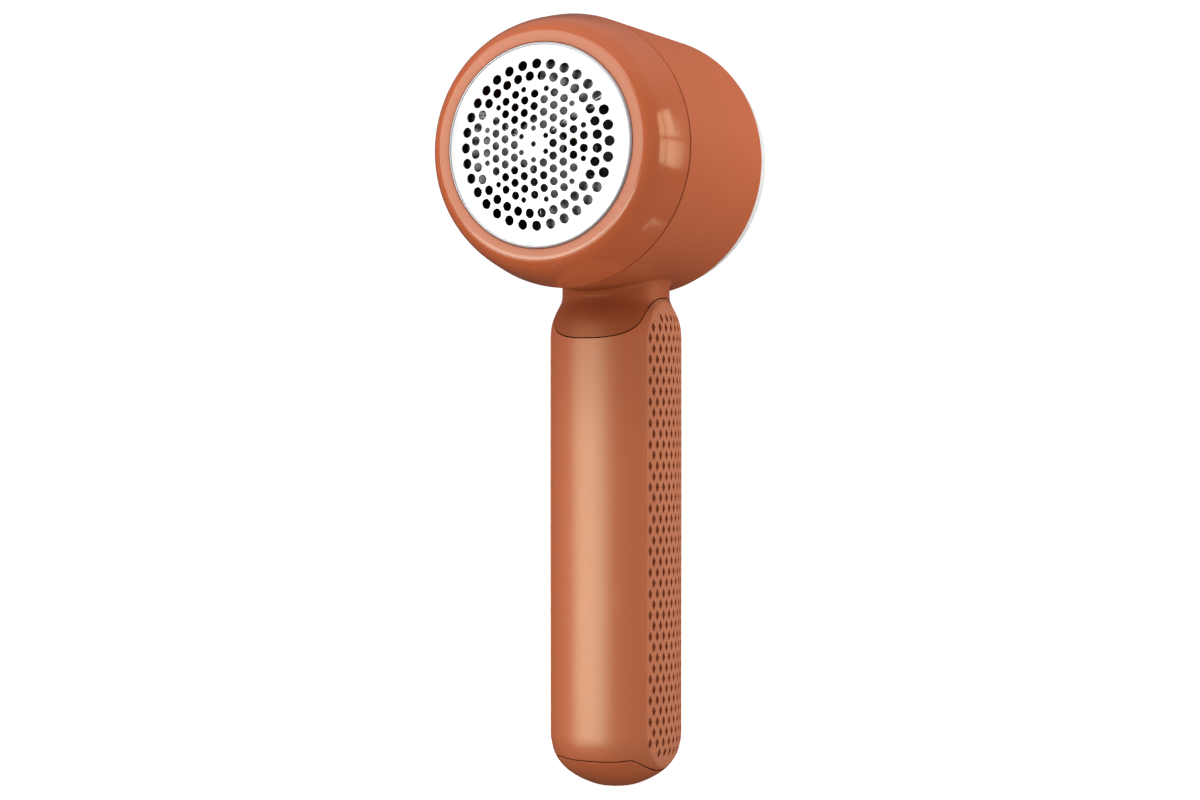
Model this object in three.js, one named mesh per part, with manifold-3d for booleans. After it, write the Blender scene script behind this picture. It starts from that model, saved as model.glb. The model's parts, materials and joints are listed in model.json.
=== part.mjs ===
// A cordless fabric shaver: a drum-shaped shaving head on a round stick handle.
// Millimetres, +Z up. The origin is the centre of the small flat at the handle's lower end.
// The head's axis is horizontal, parallel to Y; the foil faces -Y (front), and +X is right.
// The head's pieces are drawn about that axis, so z = 0 in the head group is its centre.
// Every piece is its own solid and keeps a small running or assembly gap to its neighbours.

import * as THREE from "three";
import { mergeVertices } from "three/addons/utils/BufferGeometryUtils.js";
import Module from "manifold-3d";

// ---------------------------------------------------------------- driving dimensions
const HEAD_AXIS_Z = 156.7; // height of the head's axis above the handle's lower end
const HEAD_GAP = 0.3; // assembly gap between the head's pieces
const BARREL_R = 33.1;
const BARREL_WALL = 1.8;
const BARREL_BORE_R = BARREL_R - BARREL_WALL;
const BARREL_FRONT_Y = -27.5; // seam between barrel and front ring
const BARREL_REAR_Y = 16.0; // seam between barrel and lint container
const SPIGOT_R = 30.7; // spigot that the front ring turns on
const SPIGOT_FRONT_Y = -33.0;
const SPIGOT_ROOT_Y = -26.0; // back of the web that joins the spigot to the barrel's wall
const CHAMBER_R = 27.5; // cutting chamber inside the spigot

const LIP_Y = -41.6; // flat front lip of the front ring
const LIP_OUTER_R = 27.2;
const LIP_BORE_R = 24.8;
const FOIL_R = 23.5;
const FOIL_APEX_Y = -44.43; // crown of the domed foil
const FOIL_SPHERE_R = 113.9; // radius of the foil's dome
const FOIL_T = 0.4;
const FOIL_SKIRT_Y = -39.7; // rear edge of the foil's skirt
const BLADE_GAP = 0.45; // foil to cutting edge

const SHAFT_R = 1.0;
const MOTOR_R = 12.0;
const MOTOR_SCREW_X = 7.5;
const POD_INNER_R = 12.6;
const POD_OUTER_R = 14.1;
const POD_FLANGE_R = BARREL_BORE_R - HEAD_GAP;
const POD_FLANGE_Y = SPIGOT_ROOT_Y + HEAD_GAP; // front face of the pod's mounting ring
const POD_REAR_Y = 9.0;
const POD_SCREW_RING_R = 29.25;
const POD_SCREW_ANGLES = [60, 180, 300]; // degrees from +Z towards +X
const THIRDS = [0, 120, 240];

// Passage that takes the motor leads from the neck into the pod.
const WIRE_HALF_X = 2.8;
const WIRE_Y = [-5.8, 1.8];
const DUCT_WALL = 1.2;

const HANDLE_R = 16.5;
const HANDLE_WALL = 2.5;
const HANDLE_BORE_R = HANDLE_R - HANDLE_WALL;
const SPIGOT_FIT = -0.35; // the neck's and end cap's spigots, against the handle's bore
const SEAM_GAP = 0.25; // at the neck's and end cap's parting lines
const SHELL_HALF_GAP = 0.12; // half the gap between the front and rear shells
const NECK_SCREW_Z = 106;
const CAP_SCREW_Z = 14.2;
const SIDE_SCREW_ZS = [NECK_SCREW_Z, CAP_SCREW_Z];
const SIDE_PILOT = { radius: 1.15, reach: 16 };
const SIDE_CLEARANCE = { radius: 1.3, reach: 20 };

const GRIP_HALF_WIDTH = 10.0; // half the grip panel's projected width
const GRIP_LOW_Z = 4.85;
const GRIP_HIGH_Z = 121.2;
const GRIP_T = 1.2;

const CELL_R = 9.1; // one 18 mm by 65 mm lithium-ion cell
const CELL_Z = [26, 91];
const CELL_Y = -3.2;
const CELL_TAB_Y = [-5, 7.8];
const BOARD_Y = [8.1, 9.3];
const PARTS_FRONT_Y = BOARD_Y[1] + 0.3; // front of the parts behind the board
const BOARD_SCREW_ZS = [42, 62];

const SOCKET_HALF_X = 4.45;
const SOCKET_Z = [20.4, 23.6];
const SOCKET_WALL = 0.4;
const LIGHT_Z = 72;
const LENS_R = 1.05;
const SLIDER_TRAVEL = 5;
const SLIDER_HALF_X = 4.4;
const SLIDER_Z = [79.6, 92.6];
const SLIDER_GAP = 0.3;
const STEM_HALF_X = 1.3;
const STEM_Z = [84.8, 88.2];
const STEM_GAP = 0.4; // also round the switch lever
const LEVER_HALF_X = 1.0;
const LEVER_Z = [84.6, 88.4];

const HEAD_SEGMENTS = 32;
const HANDLE_SEGMENTS = 32;
const SIDES = [
  ["left", -1],
  ["right", 1],
];

// Outside of the handle and neck: [height, radius].
const HANDLE_PROFILE = [
  [0, 4.4], [0.6, 6.5], [1.5, 8.6], [2.8, 10.9],
  [4.5, 13.05], [7.0, 15.0], [10.0, 16.1], [13.5, HANDLE_R],
  [111.7, HANDLE_R], [113.88, 16.37], [116.0, 15.95], [117.8, 15.3],
  [119.6, 14.35], [121.0, 13.7], [122.5, 13.5], [129.0, 13.5],
];

// Inside of the handle shells: [height, radius].
const HANDLE_BORE = [
  [0, 6.2], [4.0, 10.0], [7.2, 12.5], [13.5, HANDLE_BORE_R],
  [112.0, HANDLE_BORE_R], [116.5, 13.2], [122.5, 10.9], [130.0, 10.9],
];

// The two parting lines: [degrees from the front, height]. They repeat every quarter, mirrored.
const NECK_SEAM = [
  [0, 111.66], [17, 111.9], [24, 112.25], [31, 112.8], [36, 113.25],
  [41, 114.0], [45, 114.85], [48, 115.75], [52, 117.05], [57, 118.5],
  [62, 119.7], [70, 120.85], [76, 121.4], [83, 121.7], [90, 121.75],
];
const CAP_SEAM = [
  [0, 7.45], [16, 7.42], [27, 7.5], [33, 7.68], [38, 7.78],
  [42, 7.62], [46, 7.25], [52, 6.5], [58, 5.7], [65, 5.0],
  [73, 4.5], [82, 4.2], [90, 4.1],
];

// Path of the right-hand motor lead, from board to motor: [x, y, z]. The left one is mirrored.
const LEAD_PATH = [
  [3.4, 7.2, 94], [3.2, 5.0, 100], [2.4, 1.5, 112], [1.7, -1.6, 119],
  [1.6, -2.0, 124], [1.6, -1.8, 131], [1.6, 1.2, 135], [1.6, 5.2, 137.5],
  [1.6, 6.0, 142], [2.0, 6.0, 146], [5.2, 6.0, 150], [6.1, 6.0, 153],
  [6.1, 6.0, 155.7],
];

// ---------------------------------------------------------------- solids
const wasm = await Module();
wasm.setup();

// A closed three.js geometry as a manifold, turned right side out if its faces point inwards.
function solid(geometry) {
  const flat = geometry.index ? geometry.toNonIndexed() : geometry;
  const bare = new THREE.BufferGeometry().setAttribute(
    "position",
    flat.getAttribute("position"),
  );
  const merged = mergeVertices(bare, 1e-4);
  const index = merged.index.array;
  const triangles = [];
  for (let i = 0; i < index.length; i += 3) {
    const [a, b, c] = [index[i], index[i + 1], index[i + 2]];
    if (a !== b && b !== c && a !== c) triangles.push(a, b, c);
  }
  const make = () =>
    new wasm.Manifold(
      new wasm.Mesh({
        numProp: 3,
        vertProperties: merged.attributes.position.array,
        triVerts: new Uint32Array(triangles),
      }),
    );
  const made = make();
  if (made.volume() >= 0) return made;
  for (let i = 0; i < triangles.length; i += 3)
    [triangles[i + 1], triangles[i + 2]] = [triangles[i + 2], triangles[i + 1]];
  return make();
}

function geometryOf(manifold) {
  const mesh = manifold.getMesh();
  const positions = new Float32Array(mesh.numVert * 3);
  for (let i = 0; i < mesh.numVert; i++) {
    const start = i * mesh.numProp;
    positions.set(mesh.vertProperties.subarray(start, start + 3), i * 3);
  }
  const geometry = new THREE.BufferGeometry();
  geometry.setAttribute("position", new THREE.BufferAttribute(positions, 3));
  geometry.setIndex(new THREE.BufferAttribute(new Uint32Array(mesh.triVerts), 1));
  geometry.computeVertexNormals();
  return geometry;
}

const union = (...list) => list.reduce((a, b) => a.add(b));
const cut = (from, ...tools) => tools.reduce((a, b) => a.subtract(b), from);
const aroundY = (piece, degrees) => degrees.map((angle) => piece.rotate([0, angle, 0]));

// Spans are [low, high] pairs along one axis.
const centred = (half) => [-half, half];
const grown = ([low, high], by) => [low - by, high + by];
const sideSpan = (side, near, far) => (side > 0 ? [near, far] : [-far, -near]);
const radians = (degrees) => (degrees * Math.PI) / 180;
const vectors = (points) => points.map(([x, y]) => new THREE.Vector2(x, y));

function interpolate(table, x) {
  if (x <= table[0][0]) return table[0][1];
  for (let i = 1; i < table.length; i++)
    if (x <= table[i][0]) {
      const [x0, y0] = table[i - 1];
      const [x1, y1] = table[i];
      return y0 + ((y1 - y0) * (x - x0)) / (x1 - x0);
    }
  return table[table.length - 1][1];
}

// A profile of [radius, height] turned about Y. Unless both ends are on the axis, it is closed.
function lathe(profile, segments) {
  const points = vectors(profile);
  if (points[0].x > 0 || points[points.length - 1].x > 0)
    points.push(points[0].clone());
  return new THREE.LatheGeometry(points, segments);
}
const turned = (profile, segments = HEAD_SEGMENTS) => solid(lathe(profile, segments));

// The same, turned about Z, with angle 0 at -Y and 90 degrees at +X.
const turnedUp = (profile) =>
  solid(lathe(profile, HANDLE_SEGMENTS).rotateX(Math.PI / 2));

function box([x0, x1], [y0, y1], [z0, z1]) {
  return solid(
    new THREE.BoxGeometry(x1 - x0, y1 - y0, z1 - z0).translate(
      (x0 + x1) / 2,
      (y0 + y1) / 2,
      (z0 + z1) / 2,
    ),
  );
}

// Round bars along each axis.
function barX(radius, [x0, x1], sides, y = 0, z = 0) {
  return solid(
    new THREE.CylinderGeometry(radius, radius, x1 - x0, sides)
      .rotateZ(Math.PI / 2)
      .translate((x0 + x1) / 2, y, z),
  );
}

function barY(radius, [y0, y1], sides, x = 0, z = 0) {
  return solid(
    new THREE.CylinderGeometry(radius, radius, y1 - y0, sides)
      .translate(x, (y0 + y1) / 2, z),
  );
}

function barZ(radius, [z0, z1], sides, x = 0, y = 0) {
  return solid(
    new THREE.CylinderGeometry(radius, radius, z1 - z0, sides)
      .rotateX(Math.PI / 2)
      .translate(x, y, (z0 + z1) / 2),
  );
}

const extruded = (outline, depth) =>
  new THREE.ExtrudeGeometry(new THREE.Shape(vectors(outline)), {
    depth,
    bevelEnabled: false,
  });

// A round section carried along a curve.
function sweep(path, { radius, sides, steps }) {
  const outline = [];
  for (let i = 0; i < sides; i++) {
    const angle = (i * 2 * Math.PI) / sides;
    outline.push([radius * Math.cos(angle), radius * Math.sin(angle)]);
  }
  return solid(
    new THREE.ExtrudeGeometry(new THREE.Shape(vectors(outline)), {
      steps,
      extrudePath: path,
      bevelEnabled: false,
    }),
  );
}

// A helix about Y.
class Helix extends THREE.Curve {
  constructor(radius, y0, y1, turns) {
    super();
    Object.assign(this, { radius, y0, y1, turns });
  }
  getPoint(t, target = new THREE.Vector3()) {
    const angle = t * this.turns * 2 * Math.PI;
    return target.set(
      this.radius * Math.cos(angle),
      this.y0 + (this.y1 - this.y0) * t,
      this.radius * Math.sin(angle),
    );
  }
}

// A pan-head screw with a single drive slot: its head's top at 0, its shank pointing to -Y.
function screw({ headR, headH, shankR, length }) {
  const body = turned(
    [
      [0, 0],
      [headR * 0.85, 0],
      [headR, -headH],
      [shankR, -headH],
      [shankR, -length + shankR],
      [0, -length],
    ],
    8,
  );
  const slot = box(centred(headR * 0.6), [-headH * 0.5, 1], centred(0.25));
  return cut(body, slot);
}

// ---------------------------------------------------------------- materials
const material = (settings) => new THREE.MeshStandardMaterial(settings);
const looks = {
  gloss: material({ color: 0xc4693f, roughness: 0.18 }),
  satin: material({ color: 0xbf6742, roughness: 0.42 }),
  grip: material({ color: 0xb9694c, roughness: 0.75 }),
  foil: material({ color: 0xe9eaeb, roughness: 0.25, metalness: 1 }),
  steel: material({ color: 0xb9bcc0, roughness: 0.3, metalness: 1 }),
  dark: material({ color: 0x2b2c2f, roughness: 0.55 }),
  clear: material({ color: 0xf1f2f2, roughness: 0.25, transparent: true, opacity: 0.6 }),
  brass: material({ color: 0xb08d4a, roughness: 0.35, metalness: 1 }),
  copper: material({ color: 0xb5683a, roughness: 0.35, metalness: 1 }),
  board: material({ color: 0x1f5a3a, roughness: 0.5 }),
  cell: material({ color: 0x3b6ea5, roughness: 0.4 }),
  white: material({ color: 0xe8e6e1, roughness: 0.5 }),
  rubber: material({ color: 0x3a3a3c, roughness: 0.8 }),
  red: material({ color: 0xa52a22, roughness: 0.5 }),
};

// ---------------------------------------------------------------- front ring, foil and its rim
// Head profiles are [radius, y].
function frontRing() {
  const rearY = BARREL_FRONT_Y - HEAD_GAP;
  const lipBackY = LIP_Y + 1.3;
  const boreR = SPIGOT_R + HEAD_GAP;
  return turned([
    [BARREL_R, rearY], [32.05, -32.6], [31.3, -35.6], [30.4, -38.2], [29.2, -40.2],
    [LIP_OUTER_R, LIP_Y], [LIP_BORE_R, LIP_Y], [LIP_BORE_R, lipBackY],
    [27.1, lipBackY], [27.1, -36.4], [boreR, -33.4], [boreR, rearY],
  ]);
}

const domeY = (r, offset = 0) =>
  FOIL_APEX_Y +
  offset +
  (FOIL_SPHERE_R - Math.sqrt(FOIL_SPHERE_R * FOIL_SPHERE_R - r * r));

const HOLE_RING_COUNT = 32;
const OUTER_RING_R = 19.1;
const INNER_RING_R = 16.25;
const HOLE_PITCH = 2.976; // triangular lattice inside the rings
const LATTICE_R = 13.35; // limit of the lattice, and the circle of its small edge holes
const CENTRE_RING_R = 3.75; // six small holes round the middle one
const EDGE_HOLE_SHIFT = 0.035; // radians, alternately back and forth
const HOLE_LARGE_R = 1.13;
const HOLE_MEDIUM_R = 0.93;
const HOLE_SMALL_R = 0.57;

// The foil's holes as [x, z, radius].
function foilHoles() {
  const holes = [];
  const addPolar = (ringR, angle, holeR) =>
    holes.push([ringR * Math.sin(angle), ringR * Math.cos(angle), holeR]);
  for (let i = 0; i < HOLE_RING_COUNT; i++) {
    const angle = (i * 2 * Math.PI) / HOLE_RING_COUNT;
    addPolar(OUTER_RING_R, angle, HOLE_LARGE_R);
    addPolar(INNER_RING_R, angle + Math.PI / HOLE_RING_COUNT, HOLE_LARGE_R * 0.97);
  }
  for (let i = -5; i <= 5; i++)
    for (let j = -9; j <= 9; j++) {
      if ((i + j) % 2) continue;
      const x = (i * HOLE_PITCH * Math.sqrt(3)) / 2;
      const z = (j * HOLE_PITCH) / 2;
      const r = Math.hypot(x, z);
      if (r < HOLE_PITCH * 1.1 || r > LATTICE_R) continue;
      holes.push([x, z, HOLE_MEDIUM_R]);
    }
  holes.push([0, 0, HOLE_SMALL_R]);
  for (let i = 0; i < 6; i++)
    addPolar(CENTRE_RING_R, (i * Math.PI) / 3, HOLE_SMALL_R);
  for (let i = 0; i < 12; i++) {
    const shift = (i % 2 ? 1 : -1) * EDGE_HOLE_SHIFT;
    addPolar(LATTICE_R, radians(i * 30 + 15) + shift, HOLE_SMALL_R);
  }
  return holes;
}

function foil() {
  const stations = [0, 9, 17.66]; // radii where the dome's profile has a point
  const innerR = FOIL_R - FOIL_T;
  const cap = turned([
    ...[...stations, FOIL_R].map((r) => [r, domeY(r)]),
    [FOIL_R, FOIL_SKIRT_Y],
    [innerR, FOIL_SKIRT_Y],
    ...[innerR, ...stations.toReversed()].map((r) => [r, domeY(r, FOIL_T)]),
  ]);
  const throughY = [FOIL_APEX_Y - 1, LIP_Y + 0.6];
  const tools = foilHoles().map(([x, z, r]) =>
    barY(r, throughY, r === HOLE_SMALL_R ? 4 : 5, x, z),
  );
  return cap.subtract(wasm.Manifold.union(tools));
}

const foilRim = () =>
  turned([
    [23.8, -42.05], [24.5, -41.85], [24.5, -40.1],
    [26.8, -40.1], [26.8, -39.3], [23.8, -39.3],
  ]);

const foilRetainer = () =>
  turned([
    [24.9, -39.0], [26.8, -39.0], [26.8, -35.2],
    [29.0, -34.2], [29.0, -33.3], [24.9, -33.3],
  ]);

// ---------------------------------------------------------------- blade set
const BLADE_TIP_R = 21.6;
const BLADE_BORE_R = 3.0;
const BLADE_HUB_R = 6.4;
const BLADE_Y = [-40.9, -40.2]; // front and back of the flat plate
const LOBE_ROOT = { x: 4.4, halfWidth: 3.6 };
const LOBE_TIP_R = BLADE_TIP_R - 0.6;
const LOBE_HALF_ANGLE = 29;
const LOBE_STEPS = 6;
const WING_ROOT_R = 5.0;
const WING_T = 0.8;
const WING_OFFSET = -0.6;
const WING_ANGLE = 28;

// One flat lobe along +X.
function bladeLobe() {
  const [front, back] = BLADE_Y;
  const outline = [[LOBE_ROOT.x, -LOBE_ROOT.halfWidth]];
  for (let i = 0; i <= LOBE_STEPS; i++) {
    const angle = radians(-LOBE_HALF_ANGLE + (i * 2 * LOBE_HALF_ANGLE) / LOBE_STEPS);
    outline.push([LOBE_TIP_R * Math.cos(angle), LOBE_TIP_R * Math.sin(angle)]);
  }
  outline.push([LOBE_ROOT.x, LOBE_ROOT.halfWidth]);
  // The outline's x and y become x and -z; its depth runs along y.
  const toPlate = new THREE.Matrix4().set(
    1, 0, 0, 0,
    0, 0, 1, front,
    0, -1, 0, 0,
    0, 0, 0, 1,
  );
  return solid(extruded(outline, back - front).applyMatrix4(toPlate));
}

// The upright wing on the lobe's -Z edge, its front edge following the foil's dome.
function bladeWing() {
  const back = BLADE_Y[1];
  const edge = [WING_ROOT_R, 9, 13, 17, BLADE_TIP_R].map((r) => [
    r,
    domeY(r, FOIL_T + BLADE_GAP),
  ]);
  return solid(
    extruded([[WING_ROOT_R, back], ...edge, [BLADE_TIP_R, back]], WING_T)
      .translate(0, 0, WING_OFFSET)
      .rotateY(radians(WING_ANGLE)),
  );
}

function bladePlate() {
  const hub = cut(
    barY(BLADE_HUB_R, BLADE_Y, 18),
    barY(BLADE_BORE_R, grown(BLADE_Y, 1), 12),
  );
  const arm = bladeLobe().add(bladeWing());
  const envelopeY = [-46, -30];
  const envelope = cut(
    barY(BLADE_TIP_R, envelopeY, 36),
    barY(BLADE_BORE_R, envelopeY, 12),
  );
  return union(hub, ...aroundY(arm, [60, 180, 300])).intersect(envelope);
}

function bladeHub() {
  const body = turned(
    [
      [0, -41.6], [2.2, -41.6], [2.65, -41.2], [2.65, -39.85], [6.2, -39.85],
      [6.2, -38.7], [4.8, -38.7], [4.8, -35.0], [0, -35.0],
    ],
    20,
  );
  const hexSocket = barY(2.95, [-39.1, -34], 6);
  return cut(body, hexSocket);
}

const bladeSpring = () =>
  sweep(new Helix(3.6, -34.35, -29.85, 4), { radius: 0.3, sides: 5, steps: 40 });

function driveCoupling() {
  const hexDrive = barY(2.55, [-38.0, -29.2], 6);
  const flange = barY(5.0, [-29.3, -28.3], 16);
  return cut(union(hexDrive, flange), barY(SHAFT_R + 0.3, [-40, -27], 12));
}

// ---------------------------------------------------------------- motor
const ROTOR_BORE_R = SHAFT_R + 0.25;
const BEARING_BORE_R = 1.25;
const POD_FLOOR_CUT_Y = [-30, -20]; // passes through the front walls of the motor and pod

const motorShaft = () => barY(SHAFT_R, [-37.6, 4.6], 12);

const motorScrewHoles = (radius) =>
  SIDES.map(([, side]) => barY(radius, POD_FLOOR_CUT_Y, 8, side * MOTOR_SCREW_X));

function motorCan() {
  const can = turned(
    [
      [3.1, -25.7], [11.2, -25.7], [MOTOR_R, -24.9], [MOTOR_R, 1.5],
      [11.1, 1.5], [11.1, -24.8], [3.1, -24.8],
    ],
    24,
  );
  return cut(can, ...motorScrewHoles(1.05));
}

const bearing = (outerR, [front, rear]) =>
  turned(
    [[BEARING_BORE_R, front], [outerR, front], [outerR, rear], [BEARING_BORE_R, rear]],
    16,
  );

const motorEndBell = () =>
  turned([[2.9, 1.8], [11.8, 1.8], [11.8, 3.6], [4.4, 4.4], [2.9, 4.4]], 24);

function magnet(side) {
  const ring = turned([[9.2, -19.5], [10.8, -19.5], [10.8, -5.5], [9.2, -5.5]], 24);
  return ring.intersect(box(sideSpan(side, 4, 12), [-30, 10], centred(12)));
}

// Three-pole laminated core with its windings as one wound rotor.
function armature() {
  const poleY = [-18.5, -6.5];
  const web = box([0, 7.4], poleY, centred(1.6));
  const shoe = barY(8.5, poleY, 24).intersect(box([6.4, 9], [-20, -5], centred(5.6)));
  const winding = box([3.0, 6.2], [-19.6, -5.4], centred(3.3));
  const poles = aroundY(union(web, shoe, winding), [90, 210, 330]);
  const core = barY(3.4, [-19.0, -6.0], 18);
  return cut(union(core, ...poles), barY(ROTOR_BORE_R, [-30, 10], 12));
}

function commutator() {
  const slot = box([2.2, 4], [-4.9, -0.6], centred(0.15));
  return cut(
    barY(2.9, [-4.6, 0.8], 16),
    barY(ROTOR_BORE_R, [-10, 10], 12),
    ...aroundY(slot, THIRDS),
  );
}

const brush = (side) => box(sideSpan(side, 3.2, 3.6), [-3.6, 1.5], centred(0.9));
const terminal = (side) => box(sideSpan(side, 5.0, 7.2), [4.6, 7.4], centred(0.3));

// ---------------------------------------------------------------- motor pod and its screws
const POD_SCREW = { headR: 1.7, headH: 1.2, shankR: 0.8, length: 7.6 };
const MOTOR_SCREW = { headR: 1.9, headH: 1.1, shankR: 0.85, length: 3.8 };
const POD_SCREW_HEAD_Y = -21.5;
const MOTOR_SCREW_HEAD_Y = -29.0;

const podScrewHoles = (spanY) =>
  aroundY(barY(1.1, spanY, 8, 0, POD_SCREW_RING_R), POD_SCREW_ANGLES);

// Mounting ring, three spokes and the two blocks of the lead duct below the pod.
function podFrame() {
  const ringInnerR = 27.9;
  const ringRearY = -23.0;
  const ring = turned([
    [ringInnerR, POD_FLANGE_Y], [POD_FLANGE_R, POD_FLANGE_Y],
    [POD_FLANGE_R, ringRearY], [ringInnerR, ringRearY],
  ]);
  const spoke = box(centred(1.3), [POD_FLANGE_Y, -20.0], [POD_OUTER_R - 0.6, 29.0]);
  const ductX = centred(WIRE_HALF_X + DUCT_WALL);
  const ductY = grown(WIRE_Y, DUCT_WALL);
  const ductTopZ = -POD_OUTER_R + 0.8;
  return union(
    ring,
    ...aroundY(spoke, THIRDS),
    box(ductX, ductY, [-31.6, ductTopZ]),
    box(ductX, [ductY[0], POD_REAR_Y], [-27.5, ductTopZ]),
  ).intersect(barY(POD_FLANGE_R, [-60, 60], HEAD_SEGMENTS));
}

function motorPod() {
  const frontY = -27.6;
  const body = turned(
    [[0, frontY], [POD_OUTER_R, frontY], [POD_OUTER_R, POD_REAR_Y], [0, POD_REAR_Y]],
    32,
  );
  const wireX = centred(WIRE_HALF_X);
  const wireTopZ = -POD_INNER_R + 1.2;
  return cut(
    podFrame().add(body),
    barY(POD_INNER_R, [-26.0, 10], 32),
    barY(3.3, POD_FLOOR_CUT_Y, 16),
    box(wireX, WIRE_Y, [-40, wireTopZ]),
    box(wireX, [WIRE_Y[0], POD_REAR_Y - DUCT_WALL], [-26.3, wireTopZ]),
    ...podScrewHoles(POD_FLOOR_CUT_Y),
    ...motorScrewHoles(1.15),
  );
}

function podCover() {
  const frontY = POD_REAR_Y + HEAD_GAP;
  return turned(
    [
      [0, frontY], [0, 10.6], [13.2, 10.6], [POD_OUTER_R, 9.9], [POD_OUTER_R, frontY],
      [12.2, frontY], [12.2, 7.9], [11.0, 7.9], [11.0, frontY],
    ],
    32,
  );
}

// ---------------------------------------------------------------- lint container
const SEAL_GROOVE_Y = [7.0, 8.7];

function lintContainer() {
  const [grooveFront, grooveRear] = SEAL_GROOVE_Y;
  const rimY = BARREL_REAR_Y + HEAD_GAP;
  return turned([
    [0, 25.0], [27.6, 25.0], [30.2, 24.1], [31.7, 22.2], [32.5, 19.4],
    [32.7, rimY], [30.5, rimY],
    [30.5, grooveRear], [29.8, grooveRear], [29.8, grooveFront], [30.5, grooveFront],
    [30.5, 3.8], [28.6, 3.8], [28.6, 21.9], [26.8, 23.3], [0, 23.3],
  ]);
}

function containerSeal() {
  const middleY = (SEAL_GROOVE_Y[0] + SEAL_GROOVE_Y[1]) / 2;
  return solid(
    new THREE.TorusGeometry(30.55, 0.5, 5, HEAD_SEGMENTS)
      .rotateX(Math.PI / 2)
      .translate(0, middleY, 0),
  );
}

// ---------------------------------------------------------------- handle envelope
// A solid of revolution from a [height, radius] table, its radius increased by grow.
function turnedTable(table, grow, low, high) {
  const heights = table.map(([z]) => z).filter((z) => z > low && z < high);
  const points = [low, ...heights, high].map((z) => [interpolate(table, z) + grow, z]);
  return turnedUp([[0, low], ...points, [0, high]]);
}
const handleOuter = (grow, low, high) => turnedTable(HANDLE_PROFILE, grow, low, high);
const handleBore = (grow, low, high) => turnedTable(HANDLE_BORE, grow, low, high);

// Everything below a parting line whose height depends on the angle round the handle.
function belowSeam(table, shift, sides) {
  const innerR = 7;
  const outerR = 20;
  const low = -20;
  const heightAt = (step) => {
    let angle = (step * 360) / sides;
    if (angle > 180) angle = 360 - angle;
    if (angle > 90) angle = 180 - angle;
    return interpolate(table, angle) + shift;
  };
  const at = (r, step, z) => {
    const angle = (step * 2 * Math.PI) / sides;
    return [r * Math.sin(angle), -r * Math.cos(angle), z];
  };
  const positions = [];
  const triangle = (a, b, c) => positions.push(...a, ...b, ...c);
  const middle = [0, 0, heightAt(sides / 8)]; // the seam's height at 45 degrees
  for (let i = 0; i < sides; i++) {
    const j = (i + 1) % sides;
    const [innerI, innerJ] = [i, j].map((k) => at(innerR, k, heightAt(k)));
    const [outerI, outerJ] = [i, j].map((k) => at(outerR, k, heightAt(k)));
    const [lowI, lowJ] = [i, j].map((k) => at(outerR, k, low));
    triangle(middle, innerI, innerJ);
    triangle(innerI, outerI, outerJ);
    triangle(innerI, outerJ, innerJ);
    triangle(outerI, lowI, lowJ);
    triangle(outerI, lowJ, outerJ);
    triangle([0, 0, low], lowJ, lowI);
  }
  const geometry = new THREE.BufferGeometry();
  geometry.setAttribute(
    "position",
    new THREE.BufferAttribute(new Float32Array(positions), 3),
  );
  return solid(geometry);
}
const underNeckSeam = (shift) => belowSeam(NECK_SEAM, shift, 64);
const underCapSeam = (shift) => belowSeam(CAP_SEAM, shift, 32);

// A hole right across the handle for a pair of side screws.
const sideHole = ({ radius, reach }, z) => barX(radius, centred(reach), 10, 0, z);

// ---------------------------------------------------------------- head housing
// Barrel, spigot and neck in one moulding.
function headHousing() {
  const toHead = [0, 0, HEAD_AXIS_Z];
  const barrel = turned([
    [BARREL_R, BARREL_REAR_Y], [BARREL_R, BARREL_FRONT_Y],
    [SPIGOT_R, BARREL_FRONT_Y], [SPIGOT_R, SPIGOT_FRONT_Y],
    [CHAMBER_R, SPIGOT_FRONT_Y], [CHAMBER_R, SPIGOT_ROOT_Y],
    [BARREL_BORE_R, SPIGOT_ROOT_Y], [BARREL_BORE_R, BARREL_REAR_Y],
  ]).translate(toHead);
  // Trims the neck off midway through the barrel's wall.
  const trim = barY(
    BARREL_R - BARREL_WALL / 2,
    [BARREL_FRONT_Y, BARREL_REAR_Y + 1],
    HEAD_SEGMENTS,
    0,
    HEAD_AXIS_Z,
  );
  const neck = handleOuter(0, 105, 129).subtract(underNeckSeam(SEAM_GAP));
  const spigot = handleBore(SPIGOT_FIT, 99, 124);
  return cut(
    barrel.add(cut(union(neck, spigot), trim)),
    handleBore(-2.5, 98, 122.3),
    box(centred(WIRE_HALF_X), WIRE_Y, [120, 130]),
    ...podScrewHoles([-30.2, -25]).map((hole) => hole.translate(toHead)),
    sideHole(SIDE_PILOT, NECK_SCREW_Z),
  );
}

// ---------------------------------------------------------------- grips
const POCKET_CLEARANCE = 0.15; // round the grip's outline
const POCKET_DEPTH = GRIP_T + 0.3;
const GRIP_INSET = 0.1;
const SIDE_SCREW = { headR: 2.3, headH: 0.55, shankR: 0.9, length: 3.9 };
const SIDE_SCREW_HEAD_X = 15.75;

// The grip panel's outline, a stadium in the YZ plane, pushed along X on one side.
function gripPrism(grow, side) {
  const halfWidth = GRIP_HALF_WIDTH + grow;
  const steps = 10;
  const outline = [];
  for (const [start, centreZ] of [
    [0, GRIP_HIGH_Z - GRIP_HALF_WIDTH],
    [Math.PI, GRIP_LOW_Z + GRIP_HALF_WIDTH],
  ])
    for (let i = 0; i <= steps; i++) {
      const angle = start + (i * Math.PI) / steps;
      outline.push([
        halfWidth * Math.cos(angle),
        centreZ + halfWidth * Math.sin(angle),
      ]);
    }
  const [x0, x1] = sideSpan(side, 5, 25);
  // The outline's x, y and depth become y, z and x.
  const toSide = new THREE.Matrix4().set(
    0, 0, 1, x0,
    1, 0, 0, 0,
    0, 1, 0, 0,
    0, 0, 0, 1,
  );
  return solid(extruded(outline, x1 - x0).applyMatrix4(toSide));
}

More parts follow.
